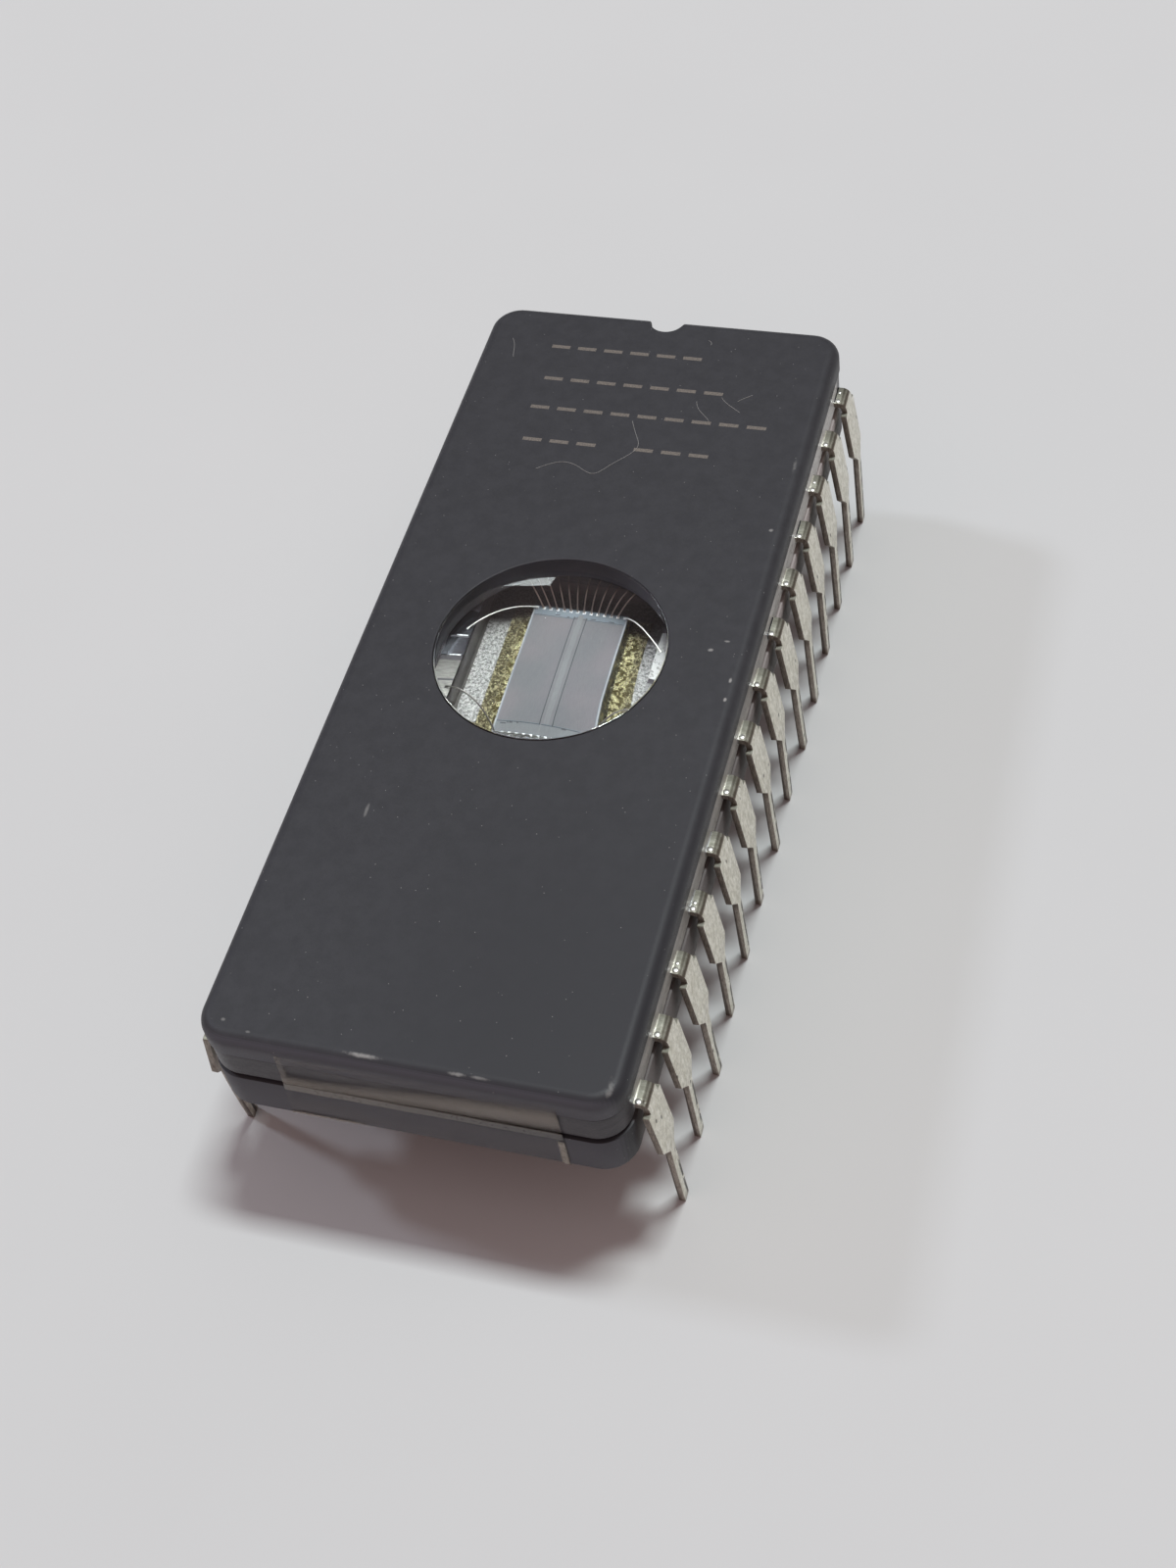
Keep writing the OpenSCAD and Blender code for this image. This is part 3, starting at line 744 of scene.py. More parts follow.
def paper_surface():
    s = Surface("paper", Roughness=0.9, Specular_IOR_Level=0.1)
    return s.finish(s.mix(s.noise(0.05, 3), (0.615, 0.615, 0.615), (0.645, 0.645, 0.645)))


# Package

def build_base(material, inner_material):
    """Base with a rounded lower edge and the cavity for the die."""
    radius, edge = BASE_EDGE_RADIUS, BASE_SEAM_EDGE
    outer = [(radius + 0.02, base_low.z)] + arc((radius, base_low.z + radius), radius, 270, 180, 6)
    outer += [(0, base_high.z - edge), (edge * 0.3, base_high.z - edge * 0.3), (edge, base_high.z)]
    rings = [package_loop(inset, z) for inset, z in outer]
    rings += [cavity_loop(0, base_high.z), cavity_loop(0, plating_low.z)]
    body = make_piece("base_body", *loft(rings), material, "dark_ceramic", ["ceramic_base"])

    def in_cavity(face):
        x, y, z = face.center / MM
        inside = abs(x) < CAVITY_HALF_WIDTH + 0.01 and abs(y) < CAVITY_HALF_LENGTH + 0.01
        return inside and z > base_low.z + 0.01
    paint(body, inner_material, in_cavity)


def build_cap(material):
    """Cap with a rounded upper edge, a slope below, the notch and the window's hole."""
    top, bottom = cap_high.z - CAP_LIFT, cap_low.z
    outer = [(SLOPE_DEPTH, bottom), (0, bottom + SLOPE_HEIGHT), (0, top - CAP_EDGE_RADIUS)]
    outer += arc((CAP_EDGE_RADIUS, top - CAP_EDGE_RADIUS), CAP_EDGE_RADIUS, 180, 90, 10)[1:]
    outer.append((CAP_EDGE_RADIUS + 0.03, top))
    rings = [package_loop(inset, z, notched=True) for inset, z in outer]
    like = rings[-1]
    hole = [(WINDOW_RADIUS + HOLE_EDGE_RADIUS + 0.02, top)]
    hole += arc((WINDOW_RADIUS + HOLE_EDGE_RADIUS, top - HOLE_EDGE_RADIUS), HOLE_EDGE_RADIUS, 90, 180, 4)
    hole.append((WINDOW_RADIUS, bottom))
    rings += [round_hole(like, radius, z) for radius, z in hole]
    make_piece("cap_body", *loft(rings, wrap=True), material, "dark_ceramic", ["ceramic_cap"])


def build_seal(material, side_material):
    """Seal glass as a frame: its bulge outside, its ledge under the leads' inner ends."""
    bottom, top = base_high.z, cap_low.z
    climb = SLOPE_HEIGHT * (SLOPE_DEPTH - SEAL_RECESS) / SLOPE_DEPTH
    foot = 180 + math.degrees(math.asin(BULGE_HEIGHT / BULGE_RADIUS))
    outer = arc((SEAL_RECESS + BULGE_RADIUS, bottom + BULGE_HEIGHT), BULGE_RADIUS, foot, 180, 8)
    outer += [(SEAL_RECESS, top + climb - 0.04), (SEAL_RECESS + 0.03, top + climb - 0.01)]
    outer += [(SLOPE_DEPTH, top)]
    rings = [package_loop(inset, z) for inset, z in outer]
    ledge = LEAD_TOP - 0.02
    rings += [cavity_loop(BOND_LEDGE, top), cavity_loop(BOND_LEDGE, ledge)]
    rings += [cavity_loop(0, ledge), cavity_loop(0, bottom)]
    seal = make_piece("seal_frame", *loft(rings, wrap=True), material, "seal_glass", ["seal_glass"])

    def on_long_side(face):
        x, y, _ = face.center / MM
        beside = abs(face.normal.x) > 0.3 and abs(x) > HALF_WIDTH - 2 * SLOPE_DEPTH
        return beside and abs(y) < HALF_LENGTH - CORNER_RADIUS
    paint(seal, side_material, on_long_side)


def bowl_height(x, y):
    """Height of the glass's lower face over its lowest point: a ball cap that flares on one side."""
    away = Vector((x, y)) - BOWL_LOWEST
    off = away.length
    share = 0.5 + 0.5 * away.dot(BOWL_FLARE_SIDE) / off
    flared = min(max(off - BOWL_FLARE_FROM, 0), BOWL_FLARE_TO - BOWL_FLARE_FROM)
    straight = max(off - BOWL_FLARE_TO, 0) * BOWL_FLARE * (BOWL_FLARE_TO - BOWL_FLARE_FROM)
    return off ** 2 / (2 * BOWL_RADIUS) + share * (BOWL_FLARE * flared ** 2 / 2 + straight)


def build_lens(material):
    """Window glass, fused into the wall of the hole. Its rim is rounded, and its lower face sags."""
    top = lens_high.z
    fused = WINDOW_RADIUS + FUSED_DEPTH
    sides, bowl_steps = 192, 25
    turns = [math.tau * k / sides for k in range(sides)]
    upper = [(0.6, top), (2, top), (3.4, top)]
    upper += arc((WINDOW_RADIUS - LENS_RIM_RADIUS, top - LENS_RIM_RADIUS), LENS_RIM_RADIUS, 90, 0, 10)
    upper.append((fused, top - LENS_RIM_RADIUS - 0.01))
    rings = [[(r * math.cos(t), r * math.sin(t), z) for t in turns] for r, z in upper]
    for r in [fused] + [WINDOW_RADIUS * (1 - k / bowl_steps) for k in range(bowl_steps)]:
        plan = [(r * math.cos(t), r * math.sin(t)) for t in turns]
        rings.append([(x, y, lens_low.z + bowl_height(x, y)) for x, y in plan])
    make_piece("window_glass", *loft(rings), material, "window_glass", ["window_lens"])


# Leads

def lead_place(number):
    """Side of a lead, its y, and its rank from the middle of the row."""
    side = -1 if number <= LEADS_PER_ROW else 1
    step = LEADS_PER_ROW - number if side < 0 else number - LEADS_PER_ROW - 1
    y = (step - (LEADS_PER_ROW - 1) / 2) * LEAD_PITCH
    return side, y, round(abs(y) / LEAD_PITCH - 0.5)


def rank_x(rank, pitch):
    """x of a finger or pad that belongs to the lead of that rank. The middle lead's is the furthest out."""
    return (WIRES_PER_SIDE - rank - 0.5) * pitch


def flat_stations(rank, y):
    """Plan points and widths of a lead's flat part, from its inner end to the package's side."""
    if rank == 0:
        tip_y = (MIDDLE_SLIT + MIDDLE_FINGER_WIDTH) / 2
        bare = [(CAVITY_HALF_WIDTH, tip_y), (CAVITY_HALF_WIDTH + MIDDLE_FINGER_LENGTH, tip_y)]
        width = MIDDLE_FINGER_WIDTH
    else:
        x = rank_x(rank, FINGER_PITCH)
        bend_y = CAVITY_HALF_LENGTH + FINGER_LENGTH + (rank - 1) * FINGER_STEP
        bare = [(x, CAVITY_HALF_LENGTH), (x, bend_y)]
        width = FINGER_WIDTH
    run = [(HALF_WIDTH - STRAIGHT_RUN, y), (HALF_WIDTH, y)]
    return [Vector(p) for p in bare + run], [width, width, EXIT_WIDTH, EXIT_WIDTH]


def leg_centre(z):
    """x of the strip's middle line below the bend."""
    bend_end = BEND_CENTRE + MIDDLE_BEND_RADIUS * Vector((math.cos(SHOULDER_LEAN), math.sin(SHOULDER_LEAN)))
    x = bend_end.x + (bend_end.y - max(z, LEAN_CHANGE_HEIGHT)) * math.tan(SHOULDER_LEAN)
    return x + max(LEAN_CHANGE_HEIGHT - z, 0) * math.tan(LEG_LEAN)


def strip_section(centre, side, up, width, shrink=0.0):
    """One section of the strip, a rectangle with rounded corners."""
    r = LEAD_EDGE_RADIUS
    half, thick = width / 2 - shrink, LEAD_THICKNESS / 2 - shrink
    ring = []
    for sx, sy, start in ((1, 1, 0), (-1, 1, 90), (-1, -1, 180), (1, -1, 270)):
        for turn in (0, 45, 90):
            a = math.radians(start + turn)
            u = sx * (half - r) + r * math.cos(a)
            v = sy * (thick - r) + r * math.sin(a)
            ring.append(tuple(centre + side * u + up * v))
    return ring


def leg_stations():
    """Heights and widths of the strip below the bend: a step out to the shoulder, a taper and the leg."""
    step = LEAD_TOP - SHOULDER_DROP
    stations = [(step, EXIT_WIDTH), (step - 0.012, SHOULDER_WIDTH - 0.06), (step - 0.04, SHOULDER_WIDTH)]
    for z in (6.2, 5.5, 5.0, SHOULDER_BOTTOM + 0.08, SHOULDER_BOTTOM, 4.35, LEAN_CHANGE_HEIGHT,
              TAPER_BOTTOM, 3.97, 3.0, 2.2, 1.4, 0.7, 0.06, 0.0):
        share = min(max((z - TAPER_BOTTOM) / SHOULDER_TAPER, 0), 1)
        stations.append((z, LEG_WIDTH + (SHOULDER_WIDTH - LEG_WIDTH) * share))
    return stations


def flat_rings(rank, y):
    """Sections of the flat part, each square to the strip or half-way round its corner."""
    plan, widths = flat_stations(rank, y)
    normals = []
    for a, b in zip(plan, plan[1:]):
        along = (b - a).normalized()
        normals.append(Vector((along.y, -along.x)))
    rings = []
    for point, width, before, after in zip(plan, widths, normals[:1] + normals, normals + normals[-1:]):
        normal = (before + after) / (1 + before.dot(after))
        centre = Vector((point.x, point.y, LEAD_TOP - LEAD_THICKNESS / 2))
        rings.append(strip_section(centre, Vector((normal.x, normal.y, 0)), Vector((0, 0, 1)), width))
    return rings


def lead_rings(number, source):
    """Sections of a lead from its inner end to its tip."""
    side_sign, y, rank = lead_place(number)
    end_sign = 1 if y > 0 else -1
    row_y = abs(y)
    rings = flat_rings(rank, row_y)
    drift_x = source.uniform(-1, 1) * LEG_DRIFT
    drift_y = source.uniform(-1, 1) * LEG_DRIFT
    across = Vector((0, -1, 0))
    bend_steps = 10
    for k in range(bend_steps + 1):
        angle = math.radians(90) + (SHOULDER_LEAN - math.radians(90)) * k / bend_steps
        out = Vector((math.cos(angle), 0, math.sin(angle)))
        centre = Vector((BEND_CENTRE.x, row_y, BEND_CENTRE.y)) + MIDDLE_BEND_RADIUS * out
        rings.append(strip_section(centre, across, out, EXIT_WIDTH))
    for z, width in leg_stations():
        lean = SHOULDER_LEAN if z > LEAN_CHANGE_HEIGHT else LEG_LEAN if z > 0 else 0
        out = Vector((math.cos(lean), 0, math.sin(lean)))
        sway = (max(SHOULDER_BOTTOM - z, 0) / SHOULDER_BOTTOM) ** SWAY_CURVE
        lean_y = (drift_y + LEG_SWAY * end_sign) * sway
        centre = Vector((leg_centre(z) + (drift_x - LEG_DRIFT) * sway, row_y + lean_y, z))
        rings.append(strip_section(centre, across, out, width, 0 if z > 0 else TIP_SHRINK))
    return [[(x * side_sign, py * end_sign, z) for x, py, z in ring] for ring in rings]


def build_leads(material, inner_material):
    """Each lead as one strip. The bare end by the cavity has its own bright finish."""
    def bare(face):
        x, _, z = face.center / MM
        return abs(x) < HALF_WIDTH - STRAIGHT_RUN / 2 and z > LEAD_BOTTOM
    source = random.Random(28)
    for number in range(1, 2 * LEADS_PER_ROW + 1):
        strip = make_piece(f"strip_{number:02d}", *loft(lead_rings(number, source)), material,
                           "lead_metal", [f"lead_{number:02d}"])
        paint(strip, inner_material, bare)


def build_beads(material):
    """Small beads of tin on the leads' upper edges, close to the package."""
    source = random.Random(21)
    turns = [math.tau * i / 16 for i in range(16)]
    beads = []
    for side in (-1, 1):
        for k in range(LEADS_PER_ROW):
            y = (k - (LEADS_PER_ROW - 1) / 2) * LEAD_PITCH
            # Place along the row from the lead's middle, and radius
            spots = [(-0.34, 0.12)]
            if source.random() < 0.45:
                spots.append((source.uniform(-0.1, 0.2), 0.08))
            for off, radius in spots:
                centre_x = side * (HALF_WIDTH + 0.07 + source.uniform(0, 0.03))
                centre_y = y + off + source.uniform(-0.03, 0.03)
                rings = []
                for height in (0.0, 0.3, 0.6, 0.85, 0.97):
                    reach = radius * math.sqrt(1 - height ** 2)
                    z = LEAD_TOP - 0.005 + 0.3 * radius * height
                    rings.append([(centre_x + reach * math.cos(t), centre_y + reach * math.sin(t), z)
                                  for t in turns])
                beads.append(rings)
    make_piece("tin_beads", *loft_each(beads), material, "lead_metal", sharp_angle=ALL_SMOOTH)


def build_finger_slots(dark, bright):
    """Narrow slots that part the inner ends left of the cavity, and two bright edges beside them."""
    near, far = CAVITY_HALF_WIDTH, CAVITY_HALF_WIDTH + MIDDLE_FINGER_LENGTH * 0.6
    slots = [(-far, y - SLOT_HALF, -near, y + SLOT_HALF) for y in (-SLOT_Y, SLOT_Y)]
    edges = [(-near - 0.5, y, -near - 0.08, y + 0.05) for y in (0.1, SLOT_Y + SLOT_HALF)]
    bottom = LEAD_TOP - 0.001
    make_piece("finger_slots", *thin_rectangles(slots, bottom, 0.004), dark, "dark_ceramic")
    make_piece("finger_edges", *thin_rectangles(edges, bottom, 0.012), bright, "lead_metal")


# Inside the cavity

def build_floor(plating, gold):
    """The cavity's bright floor and the gold under the die."""
    source = random.Random(5)
    floor = rough_sheet(plating_low, plating_high, source, step=0.09, height=0.02)
    make_piece("cavity_floor", *floor, plating, "cavity_plating", ["cavity_plating"], ALL_SMOOTH)
    bed = rough_sheet(gold_low, gold_high, source, step=0.07, height=0.035)
    make_piece("gold_bed", *bed, gold, "gold", ["gold_preform"], ALL_SMOOTH)


def lay_on_die(name, rectangles, thickness, *tones):
    """Thin plates of silicon on the die, in a tone that may drift towards a second one."""
    plates = thin_rectangles(rectangles, die_high.z, thickness)
    make_piece(name, *plates, silicon_surface(name, *tones), "silicon")


def dark_marks(left, right, low_y, high_y):
    """Dark lines round the die's fields, and short marks scattered along their ends."""
    marks = [(x - 0.02, low_y - 0.04, x + 0.02, high_y + 0.12)
             for x in (STRIPE_X - STRIPE_LINE_X, STRIPE_X + STRIPE_LINE_X)]
    marks += [(left, y - 0.012, right, y + 0.012) for y in (low_y - 0.03, high_y + 0.03)]
    source = random.Random(9)
    for _ in range(14):
        x = source.uniform(die_low.x + 0.2, die_high.x - 0.4)
        y = source.choice((low_y - 0.1, high_y + 0.08)) + source.uniform(-0.03, 0.03)
        marks.append((x, y, x + source.uniform(0.05, 0.22), y + 0.035))
    return marks


def build_die():
    """Silicon die: two memory fields, the decoder stripe between them, its edges and its pads."""
    block = make_piece("die_slab", *slab(die_low, die_high, 0.02),
                       silicon_surface("die_border", (0.2, 0.235, 0.27)), "silicon", ["die"])
    paint(block, die_wall_surface(), lambda face: abs(face.normal.z) < 0.3)
    low_y, high_y = die_low.y + DIE_NEAR_BAND, die_high.y - DIE_END_BAND
    left, right = die_low.x + DIE_SIDE_LINE + 0.02, die_high.x - DIE_SIDE_LINE - 0.02
    lay_on_die("die_fields", [(left, low_y, STRIPE_X - STRIPE_LINE_X, high_y),
                              (STRIPE_X + STRIPE_LINE_X, low_y, right, high_y)], 0.003,
               (0.172, 0.175, 0.186), (0.193, 0.182, 0.196))
    lay_on_die("die_near_band", [(left, die_low.y + 0.04, right, low_y - 0.05)], 0.002,
               (0.186, 0.195, 0.205))
    half = STRIPE_LINE_X - 0.02
    lay_on_die("die_stripe", [(STRIPE_X - half, low_y, STRIPE_X + half, high_y + 0.1)], 0.003,
               (0.185, 0.186, 0.197))
    lay_on_die("die_core", [(STRIPE_X - STRIPE_CORE, low_y, STRIPE_X + STRIPE_CORE, high_y + 0.22),
                            (STRIPE_X - 0.2, die_low.y + 0.06, STRIPE_X - 0.17, low_y)], 0.005,
               (0.21, 0.214, 0.225))
    sides = ((die_low.x + 0.012, die_low.x + DIE_SIDE_LINE),
             (die_high.x - DIE_SIDE_LINE, die_high.x - 0.012))
    lay_on_die("die_light_lines", [(x0, die_low.y + 0.05, x1, die_high.y - 0.05) for x0, x1 in sides],
               0.005, (0.36, 0.37, 0.39))
    lay_on_die("die_dark_lines", dark_marks(left, right, low_y, high_y), 0.004, (0.075, 0.08, 0.09))
    pads = []
    for y in (die_low.y + NEAR_PAD_INSET, die_high.y - PAD_INSET):
        for rank in range(WIRES_PER_SIDE):
            for x in (-rank_x(rank, PAD_PITCH), rank_x(rank, PAD_PITCH)):
                pads.append((x - PAD_HALF, y - PAD_HALF, x + PAD_HALF, y + PAD_HALF))
    make_piece("die_pads", *thin_rectangles(pads, die_high.z, 0.02), pad_surface(), "silicon")


def wire_ends(rank, end):
    """A wire's foot on the die and its landing on the lead, on the side of +X."""
    die_y = die_high.y - PAD_INSET if end > 0 else -die_low.y - NEAR_PAD_INSET
    foot = Vector((rank_x(rank, PAD_PITCH), die_y, die_high.z + WIRE_DIAMETER / 2))
    if rank == 0:
        plan = (CAVITY_HALF_WIDTH + WIRE_LANDING, MIDDLE_LANDING)
    else:
        plan = (rank_x(rank, FINGER_PITCH), CAVITY_HALF_LENGTH + WIRE_LANDING)
    return foot, Vector((*plan, LEAD_TOP + WIRE_DIAMETER / 2))


def wire_rings(foot, landing, steps=26, sides=10):
    """A wire climbs steeply from the die and comes down on its lead. Its two ends are flattened."""
    rise = landing.z - foot.z
    room = cap_low.z - WIRE_CLEARANCE - WIRE_DIAMETER - LEAD_TOP
    arch = (room + math.sqrt(room * (room + rise))) / 2
    radius = WIRE_DIAMETER / 2
    length = (landing - foot).length
    turns = [math.tau * i / sides for i in range(sides)]

    def place(t):
        p = foot.lerp(landing, t)
        p.z = foot.z + rise * t * (2 - t) + 4 * arch * t * (1 - t)
        return p
    rings = []
    for k in range(steps + 1):
        t = k / steps
        along = (place(min(t + 0.01, 1)) - place(max(t - 0.01, 0))).normalized()
        side = along.cross(Vector((0, 0, 1))).normalized()
        up = side.cross(along)
        flat = max(0, 1 - min(t, 1 - t) * length / WIRE_FLAT_LENGTH)
        wide, thin = radius * (1 + 0.8 * flat), radius * (1 - 0.45 * flat)
        centre = place(t) - Vector((0, 0, radius - thin))
        rings.append([tuple(centre + side * math.cos(a) * wide + up * math.sin(a) * thin) for a in turns])
    return rings


def build_wires(bright, dim):
    """Bond wires of both ends. The two long ones at the notched end are bright, the others dim."""
    source = random.Random(14)
    for end, end_name in ((1, "notch_end"), (-1, "plain_end")):
        wires = []
        for side in (-1, 1):
            for rank in range(WIRES_PER_SIDE):
                foot, landing = wire_ends(rank, end)
                foot.x += source.uniform(-0.02, 0.02)
                landing.x += source.uniform(-0.05, 0.05)
                landing.y += source.uniform(-0.06, 0.06)
                wires.append([[(x * side, y * end, z) for x, y, z in ring]
                              for ring in wire_rings(foot, landing)])
        points, faces = loft_each(wires, start_cap=True)
        piece = make_piece(f"wires_{end_name}", points, faces, dim, "bond_wire",
                           [f"bond_wires_{end_name}"], sharp_angle=60)
        per_wire = len(faces) // len(wires)
        paint(piece, bright, lambda face: end > 0 and face.index // per_wire % WIRES_PER_SIDE == 0)


# On the outside

def build_tape(material):
    """Tape over the plain end: down the wall, round the base's lower edge and on under it."""
    source = random.Random(3)
    phase = [source.uniform(0, math.tau) for _ in range(2)]
    wall_y = -HALF_LENGTH - TAPE_THICKNESS
    edge_z = base_low.z + BASE_EDGE_RADIUS
    drop_steps, under_steps, columns = 22, 8, 48
    path = [(wall_y, tape_high.z - (tape_high.z - edge_z) * k / drop_steps) for k in range(drop_steps)]
    path += arc((-HALF_LENGTH + BASE_EDGE_RADIUS, edge_z), BASE_EDGE_RADIUS + TAPE_THICKNESS, 180, 270, 6)
    turn_y = path[-1][0]
    path += [(turn_y + (tape_high.y - turn_y) * k / under_steps, base_low.z - TAPE_THICKNESS)
             for k in range(1, under_steps + 1)]
    points = []
    for k, (y, z) in enumerate(path):
        share = k / (len(path) - 1)
        left = tape_low.x + 0.22 * (1 - share) ** 2 + 0.03 * math.sin(7 * share)
        right = tape_high.x - 0.12 * (1 - share) ** 2 - 0.04 * math.sin(5 * share)
        for i in range(columns + 1):
            x = left + (right - left) * i / columns
            wave = 0.5 + 0.25 * math.sin(1.9 * x + phase[0] + 2 * share)
            wave += 0.25 * math.sin(4.3 * x + phase[1] - 3 * share)
            out = wave * (tape_low.y + TAPE_THICKNESS / 2 - wall_y) if z > edge_z else 0
            points.append((x, y + out, z))
    faces = grid_faces(columns, len(path) - 1)
    piece = make_piece("tape_strip", points, faces, material, "clear_tape", ["clear_tape"], ALL_SMOOTH)
    thick = piece.modifiers.new("thickness", "SOLIDIFY")
    thick.thickness = TAPE_THICKNESS * MM * 0.8
    thick.offset = 0


# Where each row of dashes starts and ends along x, and its y
INK_ROWS = (
    ((-4.4, 2.0), 15.95),
    ((-4.2, 3.4), 14.05),
    ((-4.3, 5.85), 12.35),
    ((-4.1, -0.9), 10.5),
    ((0.5, 4.5), 10.5),
)


def build_ink(material):
    """Plain dashes in rows where the cap is printed."""
    dash, gap, half_height = 0.78, 0.34, 0.09
    rectangles = []
    for (start, end), y in INK_ROWS:
        x = start
        while x + dash <= end + 0.01:
            rectangles.append((x, y - half_height, x + dash, y + half_height))
            x += dash + gap
    bottom = cap_high.z - CAP_LIFT - 0.001
    make_piece("ink_dashes", *thin_rectangles(rectangles, bottom, 0.004), material, "dark_ceramic")


# The route of each fibre on the cap
LINT = (
    [(-3.1, 8.9), (-2.5, 9.35), (-2.0, 9.5), (-1.4, 9.25), (-0.72, 8.75), (-0.26, 9.48), (0.2, 9.95),
     (0.62, 10.45), (0.66, 10.9), (0.35, 11.35), (0.05, 12.05)],
    [(3.3, 13.85), (3.6, 13.45), (3.9, 13.35), (4.2, 13.1)],
    [(3.98, 13.72), (4.2, 13.95), (4.5, 14.15)],
    [(2.35, 13.5), (2.45, 13.0), (2.8, 12.85), (3.1, 12.45)],
    [(-6.2, 16.2), (-5.95, 15.9), (-5.95, 15.4), (-5.85, 15.1)],
    [(2.0, 17.1), (2.2, 17.0), (2.15, 16.85)],
)
LINT_RADIUS = 0.009


def build_lint(material):
    """Short fibres that lie on the cap."""
    for k, route in enumerate(LINT):
        name = f"lint_{k + 1}"
        curve = bpy.data.curves.new(name, "CURVE")
        curve.dimensions = "3D"
        curve.bevel_depth = LINT_RADIUS * MM
        curve.bevel_resolution = 2
        spline = curve.splines.new("NURBS")
        spline.points.add(len(route) - 1)
        for point, (x, y) in zip(spline.points, route):
            point.co = (x * MM, y * MM, (cap_high.z - LINT_RADIUS - 0.001) * MM, 1)
        spline.use_endpoint_u = True
        spline.order_u = 4
        curve.materials.append(material)
        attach(add_object(name, curve), BODY)


# Stage

CAMERA_PLACE = Vector((22.315, -49.338, 69.652))
CAMERA_AIM = Vector((3.068, -5.933, 9.2))
CAMERA_ROLL = math.radians(-11.097)
CAMERA_LENS = 50.463
# Sizes of the paper and the lamps, in metres
PAPER_HALF = 1.5
LAMP_DISTANCE = 1.5
# Name, direction from the object, width, height, share of the light on the floor, colour
LAMPS = (
    ("main", (0.13, 0.23, 0.96), 0.42, 0.15, 0.66, (0.92, 1.0, 1.0)),
    ("left_window", (-0.715, 0.147, 0.68), 0.15, 0.15, 0.125, (0.8, 0.88, 1.0)),
)
ROOM_NEAR = (0.4, 0.264, 0.256)
ROOM_FAR = (0.11, 0.094, 0.096)
ROOM_CEILING = (0.46, 0.385, 0.39)
ROOM_RIGHT_WALL = (0.36, 0.3, 0.285)
ROOM_RIGHT_FOOT = (0.17, 0.135, 0.13)
BACKDROP = (0.66, 0.66, 0.66)


def build_camera():
    data = bpy.data.cameras.new("camera")
    data.lens = CAMERA_LENS
    data.sensor_width = 36
    data.clip_start = 0.001
    data.clip_end = 20
    camera = add_object("camera", data)
    look = (CAMERA_AIM - CAMERA_PLACE).to_track_quat("-Z", "Y").to_matrix()
    camera.matrix_world = Matrix.Translation(CAMERA_PLACE * MM) @ (
        look @ Matrix.Rotation(CAMERA_ROLL, 3, "Z")).to_4x4()
    bpy.context.scene.camera = camera


def add_lamp(name, direction, width, height, share, colour):
    """A flat lamp that faces the object, its width along X. Share is the floor's part of the light."""
    data = bpy.data.lights.new(name, "AREA")
    data.shape = "RECTANGLE"
    data.size, data.size_y = width, height
    back = Vector(direction).normalized()
    data.energy = share * (math.pi * LAMP_DISTANCE) ** 2 / back.z
    data.color = colour
    up = back.cross(Vector((1, 0, 0))).normalized()
    turn = Matrix((up.cross(back), up, back)).transposed()
    add_object(name, data).matrix_world = Matrix.Translation(back * LAMP_DISTANCE) @ turn.to_4x4()


def build_world():
    """A room: warm behind the camera, dim beyond the object, pale overhead and on the right wall."""
    world = bpy.data.worlds.new("room")
    bpy.context.scene.world = world
    world.use_nodes = True
    room = Nodes(world.node_tree)
    x, y, z = room.split(room.make("TexCoord", {}, "Generated"))
    sides = room.mix(room.band(y, 0.2, -0.4), ROOM_FAR, ROOM_NEAR)
    right_wall = room.mix(room.band(z, 0.38, 0.5), ROOM_RIGHT_FOOT, ROOM_RIGHT_WALL)
    sides = room.mix(room.band(x, 0.3, 0.5), sides, right_wall)
    light = room.mix(room.band(z, 0.7, 0.97), sides, ROOM_CEILING)
    seen = room.make("LightPath", {}, "Is Camera Ray")
    room.feed(room.tree.nodes["Background"].inputs["Color"], room.mix(seen, light, BACKDROP))


def build_paper(material):
    corners = [(x * PAPER_HALF, y * PAPER_HALF, 0) for x, y in ((-1, -1), (1, -1), (1, 1), (-1, 1))]
    mesh = bpy.data.meshes.new("paper")
    mesh.from_pydata(corners, [], [(0, 1, 2, 3)])
    mesh.materials.append(material)
    paper = add_object("paper", mesh)


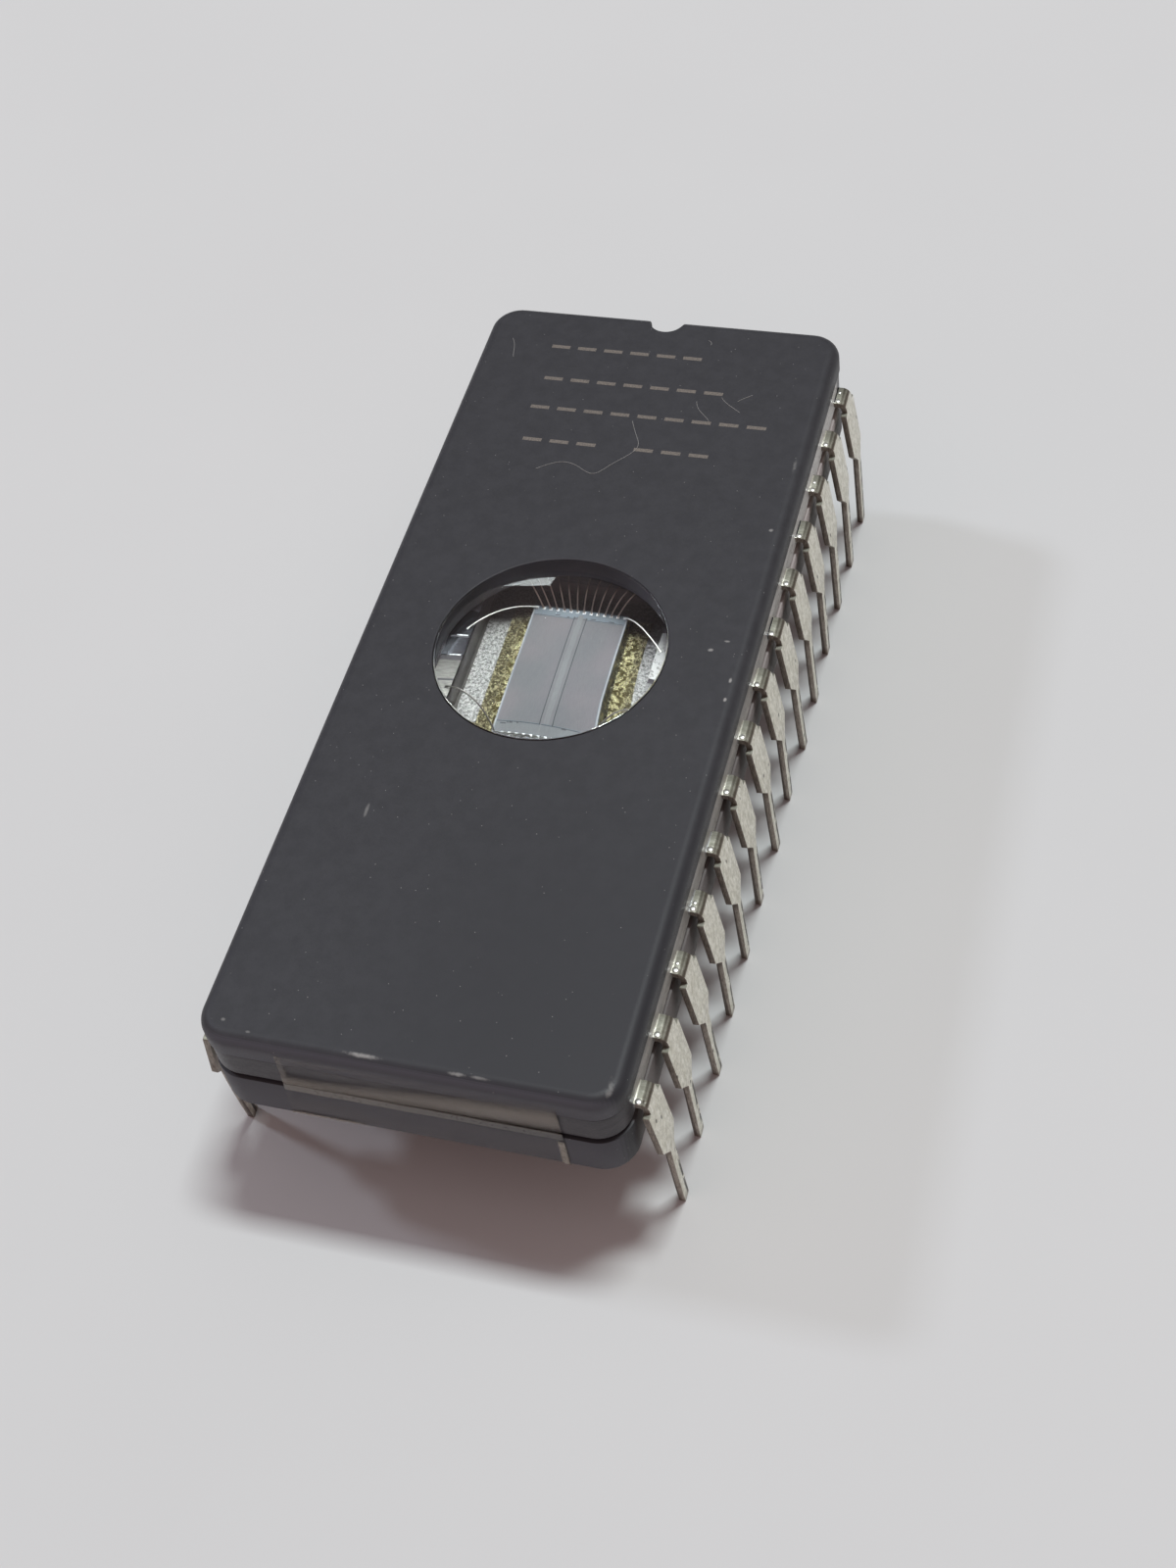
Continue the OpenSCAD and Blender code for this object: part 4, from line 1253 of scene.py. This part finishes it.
# Places on the cap that are worn pale: place, reach along each axis, amount
WORN = (
    ((-1.3, -17.9, 9.1), (0.8, 0.1, 0.14), 0.8),
    ((1.9, -17.95, 9.1), (0.35, 0.08, 0.12), 0.6),
    ((2.7, -17.95, 9.1), (0.4, 0.07, 0.1), 0.5),
    ((6.9, -17.4, 9.1), (0.16, 0.45, 0.1), 0.5),
    ((-6.4, -17.5, 9.15), (0.1, 0.08, 0.1), 0.4),
    ((-5.4, -17.8, 9.15), (0.1, 0.06, 0.1), 0.35),
    ((6.97, 10.5, 9.1), (0.1, 0.5, 0.12), 0.4),
    ((6.93, -0.5, 9.15), (0.08, 0.14, 0.1), 0.9),
    ((6.94, -1.4, 9.15), (0.07, 0.12, 0.1), 0.9),
    ((5.9, 0.8, 9.2), (0.12, 0.09, 0.1), 0.7),
    ((6.4, 1.3, 9.2), (0.14, 0.06, 0.1), 0.6),
    ((6.8, 7.0, 9.2), (0.1, 0.1, 0.1), 0.6),
    ((-4.4, -8.4, 9.2), (0.08, 0.35, 0.1), 0.35),
)


def main():
    build_camera()
    cap_ceramic = ceramic_surface("cap_ceramic", WORN)
    base_ceramic = ceramic_surface("base_ceramic", flank_light=CERAMIC_FLANK_LIGHT)
    build_base(base_ceramic, cavity_surface())
    build_cap(cap_ceramic)
    build_seal(seal_surface(), seal_side_surface())
    build_lens(window_surface())
    build_leads(lead_surface(), finger_surface())
    build_beads(bead_surface())
    build_finger_slots(base_ceramic, pad_surface())
    build_floor(plating_surface(), gold_surface())
    build_die()
    build_wires(wire_surface("bond_wire_bright", (0.9, 0.88, 0.85), (1.0, 0.98, 0.95), 0.4),
                wire_surface("bond_wire", (0.48, 0.4, 0.36), (0.66, 0.56, 0.51), 1.0, greyed_and_shaded=True))
    build_tape(tape_surface())
    build_ink(ink_surface())
    build_lint(lint_surface())
    build_paper(paper_surface())
    for lamp in LAMPS:
        add_lamp(*lamp)
    build_world()
    bpy.context.scene.view_settings.view_transform = "Standard"


main()
